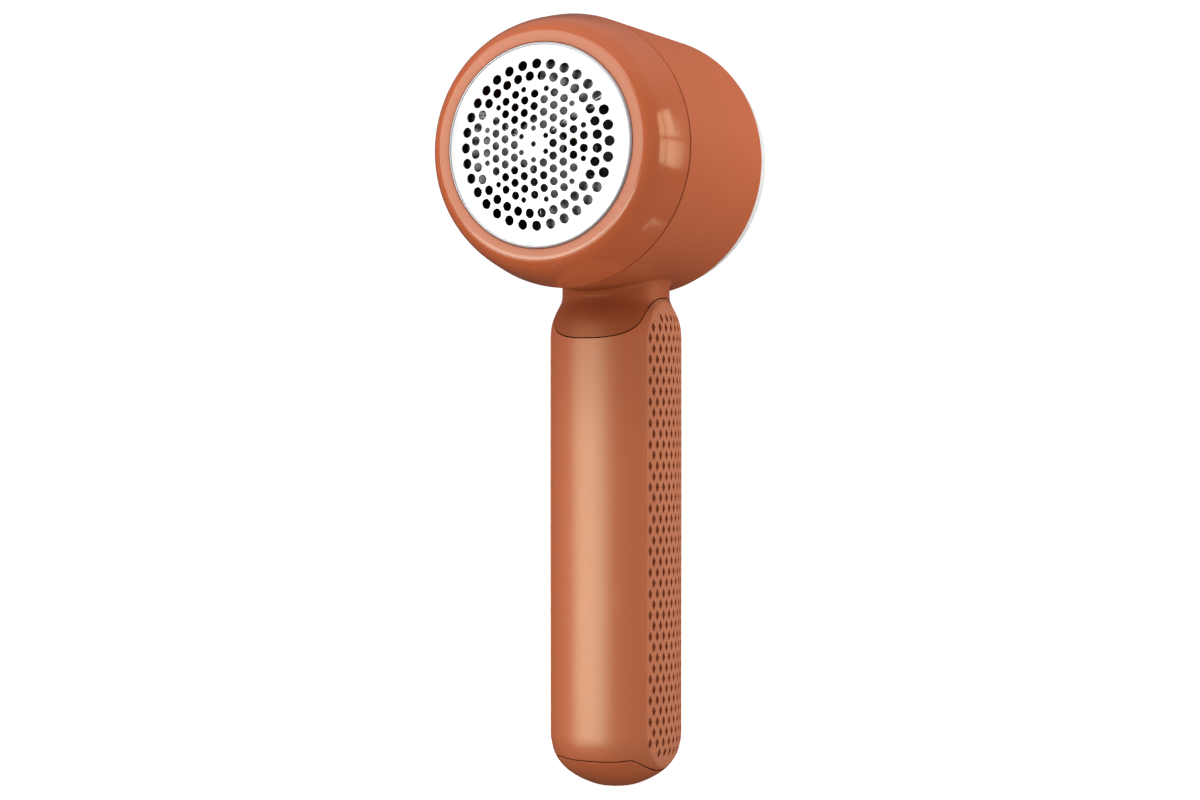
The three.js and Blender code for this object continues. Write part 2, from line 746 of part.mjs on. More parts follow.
function grip(side) {
  const skin = handleOuter(0, -1, 130).subtract(handleOuter(-GRIP_T, -1, 131));
  const recesses = SIDE_SCREW_ZS.map((z) =>
    barX(2.7, sideSpan(side, 10, 15.95), 12, 0, z),
  );
  return cut(skin.intersect(gripPrism(-GRIP_INSET, side)), ...recesses);
}

// ---------------------------------------------------------------- handle shells
// The span a sliding part needs: its own, its travel upwards and a gap at each end.
const travelSpan = ([low, high], gap) => [low - gap, high + SLIDER_TRAVEL + gap];

// Both shells before they are parted.
function handleSleeve() {
  const outer = handleOuter(0, 2, 128)
    .intersect(underNeckSeam(0))
    .subtract(underCapSeam(SEAM_GAP));
  const pocketSkin = handleOuter(2, -1, 130).subtract(
    handleOuter(-POCKET_DEPTH, -1, 130),
  );
  const pocket = (side) => pocketSkin.intersect(gripPrism(POCKET_CLEARANCE, side));
  return cut(
    outer,
    handleBore(0, 0, 130),
    pocket(1),
    pocket(-1),
    ...SIDE_SCREW_ZS.map((z) => sideHole(SIDE_CLEARANCE, z)),
  );
}

const shellHalf = (sleeve, spanY) => sleeve.intersect(box(centred(30), spanY, [-5, 130]));
const frontShell = (sleeve) => shellHalf(sleeve, [-30, -SHELL_HALF_GAP]);

// Board bosses, slider pocket and slot, charging port and the light's hole.
function rearShell(sleeve) {
  const wallY = [12, 20]; // passes through the rear wall
  return cut(
    union(
      shellHalf(sleeve, [SHELL_HALF_GAP, 30]),
      ...BOARD_SCREW_ZS.map((z) => barY(2.3, [9.9, 14.6], 12, 0, z)),
    ),
    box(centred(SLIDER_HALF_X + SLIDER_GAP), [15.05, 20], travelSpan(SLIDER_Z, SLIDER_GAP)),
    box(centred(STEM_HALF_X + STEM_GAP), wallY, travelSpan(STEM_Z, STEM_GAP)),
    box(centred(SOCKET_HALF_X + 0.4), wallY, grown(SOCKET_Z, 0.3)),
    barY(LENS_R + 0.3, wallY, 10, 0, LIGHT_Z),
    ...BOARD_SCREW_ZS.map((z) => barY(1.05, [9, 13.4], 8, 0, z)),
  );
}

// ---------------------------------------------------------------- end cap
function endCap() {
  const dome = handleOuter(0, 0, 12).intersect(underCapSeam(0));
  const spigot = handleBore(SPIGOT_FIT, 3.4, 17.5);
  const hollow = turnedUp([[0, 3.2], [6.0, 3.2], [11.2, 9.0], [11.2, 19.0], [0, 19.0]]);
  return cut(dome.add(spigot), hollow, sideHole(SIDE_PILOT, CAP_SCREW_Z));
}

// ---------------------------------------------------------------- battery, cradle and board
const BOARD_SCREW = { headR: 1.9, headH: 1.1, shankR: 0.8, length: 5.2 };
const BOARD_SCREW_HEAD_Y = 6.75;

const cellBar = (radius, spanZ) => barZ(radius, spanZ, 24, 0, CELL_Y);
const batteryCradle = () =>
  cut(
    cellBar(10.55, [23.6, 93.2]),
    cellBar(CELL_R + 0.4, [25.0, 91.9]),
    box(centred(15), [1.2, 20], [20, 100]), // leaves the rear open
  );
const batteryTab = (spanZ) => box(centred(2.5), CELL_TAB_Y, spanZ);

const mainBoard = () =>
  cut(
    box(centred(9.6), BOARD_Y, [19, 98.4]),
    ...BOARD_SCREW_ZS.map((z) => barY(1.2, [7, 11], 8, 0, z)),
  );

function chargingSocket() {
  const shell = cut(
    box(centred(SOCKET_HALF_X), [PARTS_FRONT_Y, 15.6], SOCKET_Z),
    box(centred(SOCKET_HALF_X - SOCKET_WALL), [11, 17], grown(SOCKET_Z, -SOCKET_WALL)),
  );
  const tongue = box(centred(3.3), [10.5, 15.0], [21.7, 22.3]);
  return union(shell, tongue);
}

const switchBody = () =>
  cut(
    box(centred(3.2), [PARTS_FRONT_Y, 12.1], [82.8, 95.2]),
    box(centred(LEVER_HALF_X + STEM_GAP), [10.5, 13], travelSpan(LEVER_Z, STEM_GAP)),
  );
const switchLever = () => box(centred(LEVER_HALF_X), [10.8, 12.5], LEVER_Z);

// Thumb slider: a low pad with four cross ribs and a stem that reaches the switch.
function powerSlider() {
  const pad = box(centred(SLIDER_HALF_X), [15.3, 16.85], SLIDER_Z);
  const ribs = [82.6, 84.9, 87.2, 89.5].map((z) =>
    box(centred(3.4), [16.7, 17.4], [z - 0.5, z + 0.5]),
  );
  const stem = box(centred(STEM_HALF_X), [12.8, 15.4], STEM_Z);
  return union(pad, ...ribs, stem);
}

const statusLed = () =>
  box(centred(1.0), [PARTS_FRONT_Y, 10.4], [LIGHT_Z - 0.6, LIGHT_Z + 0.6]);
const statusLens = () => barY(LENS_R, [10.7, 16.5], 10, 0, LIGHT_Z);

function motorLead(side) {
  const points = LEAD_PATH.map(([x, y, z]) => new THREE.Vector3(side * x, y, z));
  const path = new THREE.CatmullRomCurve3(points, false, "centripetal");
  return sweep(path, { radius: 0.5, sides: 5, steps: 30 });
}

// ---------------------------------------------------------------- assembly
const shaver = new THREE.Group();
const head = new THREE.Group();
head.position.set(0, 0, HEAD_AXIS_Z);
const handle = new THREE.Group();
shaver.add(head, handle);

function put(group, name, look, manifold, position = [0, 0, 0]) {
  const mesh = new THREE.Mesh(geometryOf(manifold), looks[look]);
  mesh.name = name;
  mesh.position.set(...position);
  group.add(mesh);
}

function putPair(group, name, look, make) {
  for (const [label, side] of SIDES) put(group, `${name}_${label}`, look, make(side));
}

put(head, "front_ring", "gloss", frontRing());
put(head, "foil", "foil", foil());
put(head, "foil_rim", "steel", foilRim());
put(head, "foil_retainer", "dark", foilRetainer());
put(head, "blade_plate", "steel", bladePlate());
put(head, "blade_hub", "dark", bladeHub());
put(head, "blade_spring", "steel", bladeSpring());
put(head, "drive_coupling", "brass", driveCoupling());
put(head, "motor_shaft", "steel", motorShaft());
put(head, "motor_can", "steel", motorCan());
put(head, "front_bearing", "brass", bearing(2.8, [-25.6, -23.2]));
put(head, "rear_bearing", "brass", bearing(2.6, [1.9, 4.1]));
put(head, "motor_end_bell", "dark", motorEndBell());
putPair(head, "magnet", "dark", magnet);
put(head, "armature", "copper", armature());
put(head, "commutator", "copper", commutator());
putPair(head, "brush", "copper", brush);
putPair(head, "terminal", "brass", terminal);
put(head, "motor_pod", "dark", motorPod());
put(head, "pod_cover", "white", podCover());
for (const [i, degrees] of POD_SCREW_ANGLES.entries()) {
  const angle = radians(degrees);
  put(head, `pod_screw_${i + 1}`, "steel", screw(POD_SCREW), [
    POD_SCREW_RING_R * Math.sin(angle),
    POD_SCREW_HEAD_Y,
    POD_SCREW_RING_R * Math.cos(angle),
  ]);
}
for (const [label, side] of SIDES) {
  const position = [side * MOTOR_SCREW_X, MOTOR_SCREW_HEAD_Y, 0];
  const piece = screw(MOTOR_SCREW).rotate([180, 0, 0]);
  put(head, `motor_screw_${label}`, "steel", piece, position);
}
put(head, "lint_container", "clear", lintContainer());
put(head, "container_seal", "rubber", containerSeal());

put(handle, "head_housing", "satin", headHousing());
const sleeve = handleSleeve();
put(handle, "front_shell", "satin", frontShell(sleeve));
put(handle, "rear_shell", "satin", rearShell(sleeve));
putPair(handle, "grip", "grip", grip);
for (const [name, z] of [
  ["neck_screw", NECK_SCREW_Z],
  ["cap_screw", CAP_SCREW_Z],
])
  for (const [label, side] of SIDES) {
    const piece = screw(SIDE_SCREW).rotate([0, 0, -90 * side]);
    put(handle, `${name}_${label}`, "steel", piece, [side * SIDE_SCREW_HEAD_X, 0, z]);
  }
put(handle, "end_cap", "satin", endCap());
put(handle, "battery_cell", "cell", cellBar(CELL_R, CELL_Z));
put(handle, "battery_cradle", "dark", batteryCradle());
put(handle, "battery_tab_top", "brass", batteryTab([91.3, 91.6]));
put(handle, "battery_tab_bottom", "brass", batteryTab([25.3, 25.7]));
put(handle, "main_board", "board", mainBoard());
for (const [i, z] of BOARD_SCREW_ZS.entries()) {
  const piece = screw(BOARD_SCREW).rotate([180, 0, 0]);
  put(handle, `board_screw_${i + 1}`, "steel", piece, [0, BOARD_SCREW_HEAD_Y, z]);
}
put(handle, "charging_socket", "steel", chargingSocket());
put(handle, "switch_body", "dark", switchBody());
put(handle, "switch_lever", "white", switchLever());
put(handle, "power_slider", "gloss", powerSlider());
put(handle, "status_led", "white", statusLed());
put(handle, "status_lens", "clear", statusLens());
put(handle, "lead_positive", "red", motorLead(1));
put(handle, "lead_negative", "rubber", motorLead(-1));

export default shaver;
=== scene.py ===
# A hand-held fabric shaver standing upright on its end cap. The handle's axis is Z, with its
# foot at z = 0. The head's axis runs along Y at HEAD_Z: the foil faces the front (-Y) and the
# lint container is at the rear (+Y). Left is -X and right is +X.
import json
import math
import bmesh
import bpy
import numpy as np
from mathutils import Matrix, Vector
from mathutils.geometry import delaunay_2d_cdt


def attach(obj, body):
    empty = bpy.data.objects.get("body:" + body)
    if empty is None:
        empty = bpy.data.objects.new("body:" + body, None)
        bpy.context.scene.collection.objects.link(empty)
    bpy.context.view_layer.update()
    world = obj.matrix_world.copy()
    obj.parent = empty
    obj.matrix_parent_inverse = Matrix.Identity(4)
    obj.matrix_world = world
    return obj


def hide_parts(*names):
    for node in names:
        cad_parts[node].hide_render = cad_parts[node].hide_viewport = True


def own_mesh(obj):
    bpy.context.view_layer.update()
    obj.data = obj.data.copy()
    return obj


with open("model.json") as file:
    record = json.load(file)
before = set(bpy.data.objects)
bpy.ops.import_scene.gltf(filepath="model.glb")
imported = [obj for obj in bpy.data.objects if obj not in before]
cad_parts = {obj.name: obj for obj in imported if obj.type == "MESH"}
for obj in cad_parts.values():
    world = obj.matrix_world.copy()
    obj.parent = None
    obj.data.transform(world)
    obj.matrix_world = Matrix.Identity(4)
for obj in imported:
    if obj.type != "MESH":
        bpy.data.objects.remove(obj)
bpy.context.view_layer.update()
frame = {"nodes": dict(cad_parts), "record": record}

scene = bpy.context.scene

# ---------------------------------------------------------------- driving dimensions

MM = 0.001
HEAD_Z = 156.7
ON_HEAD = (0, 0, HEAD_Z)
ORIGIN = (0, 0, 0)
SIDES = (("left", -1), ("right", 1))

BARREL_R = 33.1
HANDLE_R = 16.5
NECK_R = 13.5

NECK_SCREW_Z = 106
CAP_SCREW_Z = 14.2
BOARD_SCREW_Z = (42, 62)
POD_SCREW_R = 29.25  # from the head's axis
POD_SCREW_ANGLES = (60, 180, 300)
MOTOR_SCREW_X = 7.5
PORT_Z = 22
LIGHT_Z = 72

GRIP_HALF_WIDTH, GRIP_LO, GRIP_HI = 10.0, 4.85, 121.15

# (z, radius) up the handle's skin
HANDLE = [
    (0.0, 4.4), (0.2, 5.3), (0.6, 6.5), (1.0, 7.5), (1.5, 8.6), (2.1, 9.8), (2.8, 10.98),
    (3.6, 12.1), (4.5, 13.1), (5.7, 14.15), (7.0, 15.03), (8.4, 15.65), (10.0, 16.1),
    (11.7, 16.4), (13.5, HANDLE_R), (60.0, HANDLE_R), (111.6, HANDLE_R), (112.8, 16.47),
    (114.2, 16.35), (115.2, 16.2), (116.4, 15.88), (117.2, 15.6), (118.0, 15.25),
    (118.8, 14.87), (119.6, 14.43), (120.4, 14.02), (121.1, 13.74), (121.8, 13.58),
    (122.6, NECK_R), (132.0, NECK_R),
]
# (degrees from the front or rear towards the side, z) along each parting line
NECK_SEAM = [
    (-6, 111.66), (0, 111.66), (10, 111.7), (17, 111.9), (24, 112.2), (31, 112.75),
    (36, 113.25), (40.6, 113.95), (44.7, 114.8), (48, 115.75), (51.8, 117.0), (56.5, 118.4),
    (62, 119.68), (70, 120.85), (75.5, 121.35), (82.6, 121.66), (90, 121.75), (96, 121.75),
]
CAP_SEAM = [
    (-6, 7.45), (0, 7.45), (16, 7.42), (27, 7.5), (33, 7.68), (38.5, 7.78), (42, 7.65),
    (46, 7.25), (51.5, 6.55), (57.6, 5.78), (64.6, 5.1), (72.7, 4.55), (82, 4.2), (90, 4.1),
    (96, 4.1),
]
# (z, radius) up the handle's bore
BORE = [
    (0, 6.2), (4.0, 10.0), (7.2, 12.5), (13.5, 14.0), (112.0, 14.0), (116.5, 13.2),
    (122.5, 10.9), (130, 10.9),
]

# ---------------------------------------------------------------- curves


def pchip(points):
    """A monotone cubic through (x, y) points, held level past its ends."""
    xs, ys = np.array(points, float).T
    gaps = np.diff(xs)
    slopes = np.diff(ys) / gaps
    tangents = np.zeros_like(ys)
    tangents[0], tangents[-1] = slopes[0], slopes[-1]
    for i in range(1, len(xs) - 1):
        if slopes[i - 1] * slopes[i] > 0:
            w1 = 2 * gaps[i] + gaps[i - 1]
            w2 = gaps[i] + 2 * gaps[i - 1]
            tangents[i] = (w1 + w2) / (w1 / slopes[i - 1] + w2 / slopes[i])

    def curve(x):
        x = np.clip(np.asarray(x, float), xs[0], xs[-1])
        i = np.clip(np.searchsorted(xs, x) - 1, 0, len(xs) - 2)
        t = (x - xs[i]) / gaps[i]
        return (
            (2 * t**3 - 3 * t**2 + 1) * ys[i]
            + (t**3 - 2 * t**2 + t) * gaps[i] * tangents[i]
            + (-2 * t**3 + 3 * t**2) * ys[i + 1]
            + (t**3 - t**2) * gaps[i] * tangents[i + 1]
        )

    return curve


handle_curve = pchip(HANDLE)
neck_seam = pchip(NECK_SEAM)
cap_seam = pchip(CAP_SEAM)


def handle_r(z):
    return float(handle_curve(z))


def seam_z(curve, angle):
    """A parting line's height at an angle (radians) round the handle from the front."""
    degrees = math.degrees(abs((angle + math.pi) % (2 * math.pi) - math.pi))
    return float(curve(180 - degrees if degrees > 90 else degrees))


def spline(points, steps):
    """A smooth open curve through the points."""
    p = np.array(points, float)
    extended = np.vstack([2 * p[0] - p[1], p, 2 * p[-1] - p[-2]])
    out = []
    for i in range(1, len(extended) - 2):
        p0, p1, p2, p3 = extended[i - 1 : i + 3]
        for k in range(steps):
            t = k / steps
            linear = (p2 - p0) * t
            square = (2 * p0 - 5 * p1 + 4 * p2 - p3) * t**2
            cube = (3 * p1 - p0 - 3 * p2 + p3) * t**3
            out.append(tuple(0.5 * (2 * p1 + linear + square + cube)))
    out.append(tuple(p[-1]))
    return out


def rounded(points, steps):
    """A polyline whose corners (a, b, radius) are rounded.

    It closes on itself unless it starts and ends on the axis.
    """
    corners = [(p[0], p[1], p[2] if len(p) > 2 else 0.0) for p in points]
    closed = corners[0][0] > 1e-6 or corners[-1][0] > 1e-6
    out, count = [], len(corners)
    for i, (x, y, radius) in enumerate(corners):
        if radius <= 0 or (not closed and i in (0, count - 1)):
            out.append((x, y))
            continue
        corner = np.array((x, y))
        a = np.array(corners[i - 1][:2]) - corner
        b = np.array(corners[(i + 1) % count][:2]) - corner
        length_a, length_b = np.linalg.norm(a), np.linalg.norm(b)
        a, b = a / length_a, b / length_b
        angle = math.acos(max(-1, min(1, float(a @ b))))
        if angle < 1e-3 or angle > math.pi - 1e-3:
            out.append((x, y))
            continue
        # The arc may take up just under half of either side.
        reach = min(radius / math.tan(angle / 2), 0.48 * length_a, 0.48 * length_b)
        fitted = reach * math.tan(angle / 2)
        centre = corner + (a + b) / np.linalg.norm(a + b) * fitted / math.sin(angle / 2)
        start, end = corner + a * reach - centre, corner + b * reach - centre
        first = math.atan2(start[1], start[0])
        sweep = (math.atan2(end[1], end[0]) - first + math.pi) % (2 * math.pi) - math.pi
        for k in range(steps + 1):
            turned_by = first + sweep * k / steps
            out.append(tuple(centre + fitted * np.array((math.cos(turned_by), math.sin(turned_by)))))
    return out


def circle(x, y, radius, count):
    angles = [2 * math.pi * k / count for k in range(count)]
    return [(x + radius * math.cos(a), y + radius * math.sin(a)) for a in angles]


def stations(start, stop, count):
    return [start + (stop - start) * k / count for k in range(count + 1)]


def slab(width, height, radius, steps=6, z=0.0):
    """A rounded rectangle's (x, z) outline, centred on x = 0."""
    out = []
    for sx, sz, start in ((1, 1, 0), (-1, 1, 90), (-1, -1, 180), (1, -1, 270)):
        for k in range(steps + 1):
            a = math.radians(start + 90 * k / steps)
            out.append((
                sx * (width / 2 - radius) + radius * math.cos(a),
                z + sz * (height / 2 - radius) + radius * math.sin(a),
            ))
    return out


# ---------------------------------------------------------------- solids


def solid(verts, faces):
    mesh = bpy.data.meshes.new("piece")
    mesh.from_pydata([tuple(map(float, v)) for v in verts], [], faces)
    bm = bmesh.new()
    bm.from_mesh(mesh)
    bmesh.ops.remove_doubles(bm, verts=bm.verts, dist=1e-5)
    bmesh.ops.recalc_face_normals(bm, faces=bm.faces)
    bm.to_mesh(mesh)
    bm.free()
    ob = bpy.data.objects.new("piece", mesh)
    scene.collection.objects.link(ob)
    return ob


def revolve(profile, segs=160, axis="Y", at=ON_HEAD):
    """Turns a profile of (radius, place along the axis) points about the axis."""
    closed = profile[0][0] > 1e-6 or profile[-1][0] > 1e-6
    verts, rings = [], []

    def point(r, h, a):
        s, c = r * math.sin(a), r * math.cos(a)
        if axis == "Y":
            return (at[0] + s, at[1] + h, at[2] + c)
        if axis == "Z":
            return (at[0] + s, at[1] - c, at[2] + h)
        return (at[0] + h, at[1] + c, at[2] + s)

    for r, h in profile:
        if r < 1e-6:
            rings.append([len(verts)])
            verts.append(point(0, h, 0))
        else:
            rings.append(list(range(len(verts), len(verts) + segs)))
            verts += [point(r, h, 2 * math.pi * k / segs) for k in range(segs)]
    pairs = list(zip(rings, rings[1:])) + ([(rings[-1], rings[0])] if closed else [])
    faces = []
    for a, b in pairs:
        for k in range(segs):
            j = (k + 1) % segs
            if len(a) == 1:
                faces.append((a[0], b[j], b[k]))
            elif len(b) == 1:
                faces.append((a[k], a[j], b[0]))
            else:
                faces.append((a[k], a[j], b[j], b[k]))
    return solid(verts, faces)


def prism(outline, d0, d1, axis="Y", at=ORIGIN):
    """A closed outline thickened from d0 to d1. Axis Y takes (x, z) points, X takes (y, z)."""
    n = len(outline)

    def point(p, d):
        if axis == "Y":
            return (at[0] + p[0], at[1] + d, at[2] + p[1])
        return (at[0] + d, at[1] + p[0], at[2] + p[1])

    verts = [point(p, d0) for p in outline] + [point(p, d1) for p in outline]
    faces = [tuple(range(n)), tuple(range(2 * n - 1, n - 1, -1))]
    faces += [(k, (k + 1) % n, n + (k + 1) % n, n + k) for k in range(n)]
    return solid(verts, faces)


def block(x0, x1, y0, y1, z0, z1):
    return prism([(x0, z0), (x1, z0), (x1, z1), (x0, z1)], y0, y1)


def rod(radius, h0, h1, axis="Y", at=ON_HEAD, segs=32):
    return revolve([(0, h0), (radius, h0), (radius, h1), (0, h1)], segs, axis, at)


def cross_rod(radius, x0, x1, z, segs):
    """A rod along X through the handle's axis."""
    return rod(radius, x0, x1, "X", (0, 0, z), segs)


def evaluated(ob):
    depsgraph = bpy.context.evaluated_depsgraph_get()
    mesh = bpy.data.meshes.new_from_object(ob.evaluated_get(depsgraph))
    ob.modifiers.clear()
    return mesh


def boolean(ob, operation, tools):
    # MANIFOLD gives next to nothing where a solid isn't watertight: EXACT then takes over.
    for solver in ("MANIFOLD", "EXACT"):
        for tool in tools:
            modifier = ob.modifiers.new("b", "BOOLEAN")
            modifier.object = tool
            modifier.operation = operation
            modifier.solver = solver
        mesh = evaluated(ob)
        if len(mesh.polygons) > 3:
            break
    ob.data = mesh
    for tool in tools:
        bpy.data.objects.remove(tool)
    return ob


def cut(ob, *tools):
    return boolean(ob, "DIFFERENCE", tools)


def join(ob, *tools):
    return boolean(ob, "UNION", tools)


def clip(ob, *tools):
    return boolean(ob, "INTERSECT", tools)


def turn(ob, degrees, axis="Y", centre=ON_HEAD):
    c = Vector(centre)
    rotation = Matrix.Rotation(math.radians(degrees), 4, axis)
    ob.data.transform(Matrix.Translation(c) @ rotation @ Matrix.Translation(-c))
    return ob


def bevel(ob, width, segments=2):
    modifier = ob.modifiers.new("bevel", "BEVEL")
    modifier.width = width
    modifier.segments = segments
    modifier.limit_method = "ANGLE"
    modifier.angle_limit = math.radians(40)
    modifier.use_clamp_overlap = True
    ob.data = evaluated(ob)
    return ob


class Sheet:
    """Outlines and loose points in a plane, to be triangulated together."""

    def __init__(self):
        self.points, self.edges, self.depths = [], [], []

    def point(self, x, y):
        self.points.append((x, y))
        self.depths.append(0.0)

    def loop(self, points, depth=0.0):
        start, count = len(self.points), len(points)
        self.points.extend(points)
        self.depths.extend([depth] * count)
        self.edges.extend((start + k, start + (k + 1) % count) for k in range(count))

    def triangulate(self):
        """The vertices, the triangles, and the points that each vertex came from."""
        points = [Vector(p) for p in self.points]
        result = delaunay_2d_cdt(points, self.edges, [], 1, 1e-6)
        verts = np.array([(v.x, v.y) for v in result[0]])
        return verts, [tuple(t) for t in result[2]], result[3]


def vertex_of(sources):
    """From a sheet's point to its vertex."""
    return {point: vertex for vertex, points in enumerate(sources) for point in points}


BODY_OF = {n: b for b, ns in frame["record"]["behaviour"]["bodies"].items() for n in ns}
SLOT_OF = {s["node"]: s["material_slot"] for s in frame["record"]["subparts"]}
MATS = {}


def dress(mesh, material_name, sharp):
    mesh.polygons.foreach_set("use_smooth", [True] * len(mesh.polygons))
    mesh.set_sharp_from_angle(angle=math.radians(sharp))
    mesh.materials.clear()
    mesh.materials.append(MATS[material_name])


def finish(ob, node, material_name=None, sharp=34):
    """Finishes a piece: metres, clean normals, its material, and the CAD node it stands for."""
    mesh = ob.data
    mesh.transform(Matrix.Scale(MM, 4))
    bm = bmesh.new()
    bm.from_mesh(mesh)
    bmesh.ops.remove_doubles(bm, verts=bm.verts, dist=2e-8)
    bmesh.ops.recalc_face_normals(bm, faces=bm.faces)
    bm.to_mesh(mesh)
    bm.free()
    dress(mesh, material_name or SLOT_OF[node], sharp)
    ob.name = node + "_fine"
    mesh.name = ob.name
    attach(ob, BODY_OF[node])
    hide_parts(node)
    return ob


def turned(node, profile, steps, segs, axis="Y", at=ON_HEAD, **finishing):
    """A whole piece turned from a profile of (radius, place along the axis, corner radius)."""
    return finish(revolve(rounded(profile, steps), segs, axis, at), node, **finishing)


# ---------------------------------------------------------------- materials


class Graph:
    """The node tree of a material or world, emptied and ready to build."""

    def __init__(self, owner):
        owner.use_nodes = True
        self.nodes, self.links = owner.node_tree.nodes, owner.node_tree.links
        self.nodes.clear()

    def link(self, source, target):
        self.links.new(source, target)

    def add(self, kind, inputs=None, **settings):
        """A new node. Inputs are fixed values, or sockets to link from."""
        node = self.nodes.new("ShaderNode" + kind)
        for key, value in settings.items():
            setattr(node, key, value)
        for key, value in (inputs or {}).items():
            if isinstance(value, bpy.types.NodeSocket):
                self.link(value, node.inputs[key])
            else:
                node.inputs[key].default_value = value
        return node

    def math(self, operation, a, b):
        return self.add("Math", {0: a, 1: b}, operation=operation)

    def noise(self, vector, scale, detail, roughness=0.5):
        inputs = {"Scale": scale, "Detail": detail, "Roughness": roughness, "Vector": vector}
        return self.add("TexNoise", inputs).outputs[0]

    def remap(self, value, lo, hi, a=0.3, b=0.7):
        """Maps a..b onto lo..hi."""
        inputs = {"From Min": a, "From Max": b, "To Min": lo, "To Max": hi, "Value": value}
        return self.add("MapRange", inputs).outputs[0]

    def ramp(self, factor, stops, interpolation="LINEAR"):
        """Grey levels from (position, level) stops."""
        node = self.add("ValToRGB")
        node.color_ramp.interpolation = interpolation
        elements = node.color_ramp.elements
        while len(elements) < len(stops):
            elements.new(0.5)
        for element, (position, _) in zip(elements, stops):
            element.position = position
        for element, (_, level) in zip(elements, stops):
            element.color = (level, level, level, 1)
        self.link(factor, node.inputs[0])
        return node.outputs[0]


def linear(srgb):
    def channel(c):
        return c / 12.92 if c <= 0.04045 else ((c + 0.055) / 1.055) ** 2.4

    return tuple(channel(c / 255) for c in srgb) + (1.0,)


SHADE_RAMP_TOP = 0.2  # metres: the height at which a ramp of painted shade by height ends


# Painted shade: the colour darkens by height up the piece, at the handle's foot and in the neck
# under the head.
def paint_shade_by_height(graph, place, value, painted_height_shade):
    height = graph.add("SeparateXYZ", {0: place}).outputs[2]
    span = graph.remap(height, 0, 1, 0, SHADE_RAMP_TOP)
    steps = graph.ramp(span, [(z / SHADE_RAMP_TOP, k) for z, k in painted_height_shade], "B_SPLINE")
    return graph.math("MULTIPLY", value, steps).outputs[0]


# Sharp edges are made lighter, by pointiness.
def lighten_edges(graph, colour, base, edge_lift):
    geometry = graph.add("NewGeometry")
    edge = graph.remap(geometry.outputs["Pointiness"], 0.0, edge_lift, 0.53, 0.62)
    edge_colour = tuple(min(1.0, c * 1.5 + 0.04) for c in base[:3]) + (1.0,)
    mix = graph.add("Mix", {"Factor": edge, "A": colour, "B": edge_colour}, data_type="RGBA")
    return mix.outputs["Result"]


def paint_recess_shade(graph, shader, place, colour, base, shade, upright, specular):
    """Painted shade: crevices and recesses get a darker colour and less shine, by ambient occlusion.
    """
    distance, power = shade
    occlusion = graph.add("AmbientOcclusion", {"Distance": distance}, samples=16).outputs["AO"]
    gain = graph.math("POWER", occlusion, power)
    if upright:
        # The painted shade eases off by view angle: seen from the side, pockets on the round handle
        # show more of their bright far walls.
        flat = graph.add("VectorMath", {0: place, 1: (1, 1, 0)}, operation="MULTIPLY")
        radial = graph.add("VectorMath", {0: flat.outputs[0]}, operation="NORMALIZE")
        eye = graph.add("NewGeometry").outputs["Incoming"]
        toward = graph.add("VectorMath", {0: radial.outputs[0], 1: eye}, operation="DOT_PRODUCT")
        facing = graph.remap(toward.outputs["Value"], power * 0.2, power, 0.25, 0.85)
        graph.link(facing, gain.inputs[1])
    # The painted shade's colour: the base colour much darkened.
    shade_colour = tuple(c * k for c, k in zip(base[:3], (0.12, 0.07, 0.05))) + (1.0,)
    mix_inputs = {"Factor": gain.outputs[0], "A": shade_colour, "B": colour}
    dark = graph.add("Mix", mix_inputs, data_type="RGBA")
    shine = graph.math("POWER", occlusion, power * 2.6)
    level = graph.math("MULTIPLY", shine.outputs[0], specular)
    graph.link(level.outputs[0], shader.inputs["Specular IOR Level"])
    return dark.outputs["Result"]


def head_radius(graph, place):
    """The distance from the head's axis as a vector, for turning marks."""
    parts = graph.add("SeparateXYZ", {0: place})
    up = graph.math("SUBTRACT", parts.outputs[2], HEAD_Z * MM)
    across = graph.add("CombineXYZ", {0: parts.outputs[0], 2: up.outputs[0]})
    length = graph.add("VectorMath", {0: across.outputs[0]}, operation="LENGTH")
    return graph.add("CombineXYZ", {0: length.outputs["Value"]}).outputs[0]


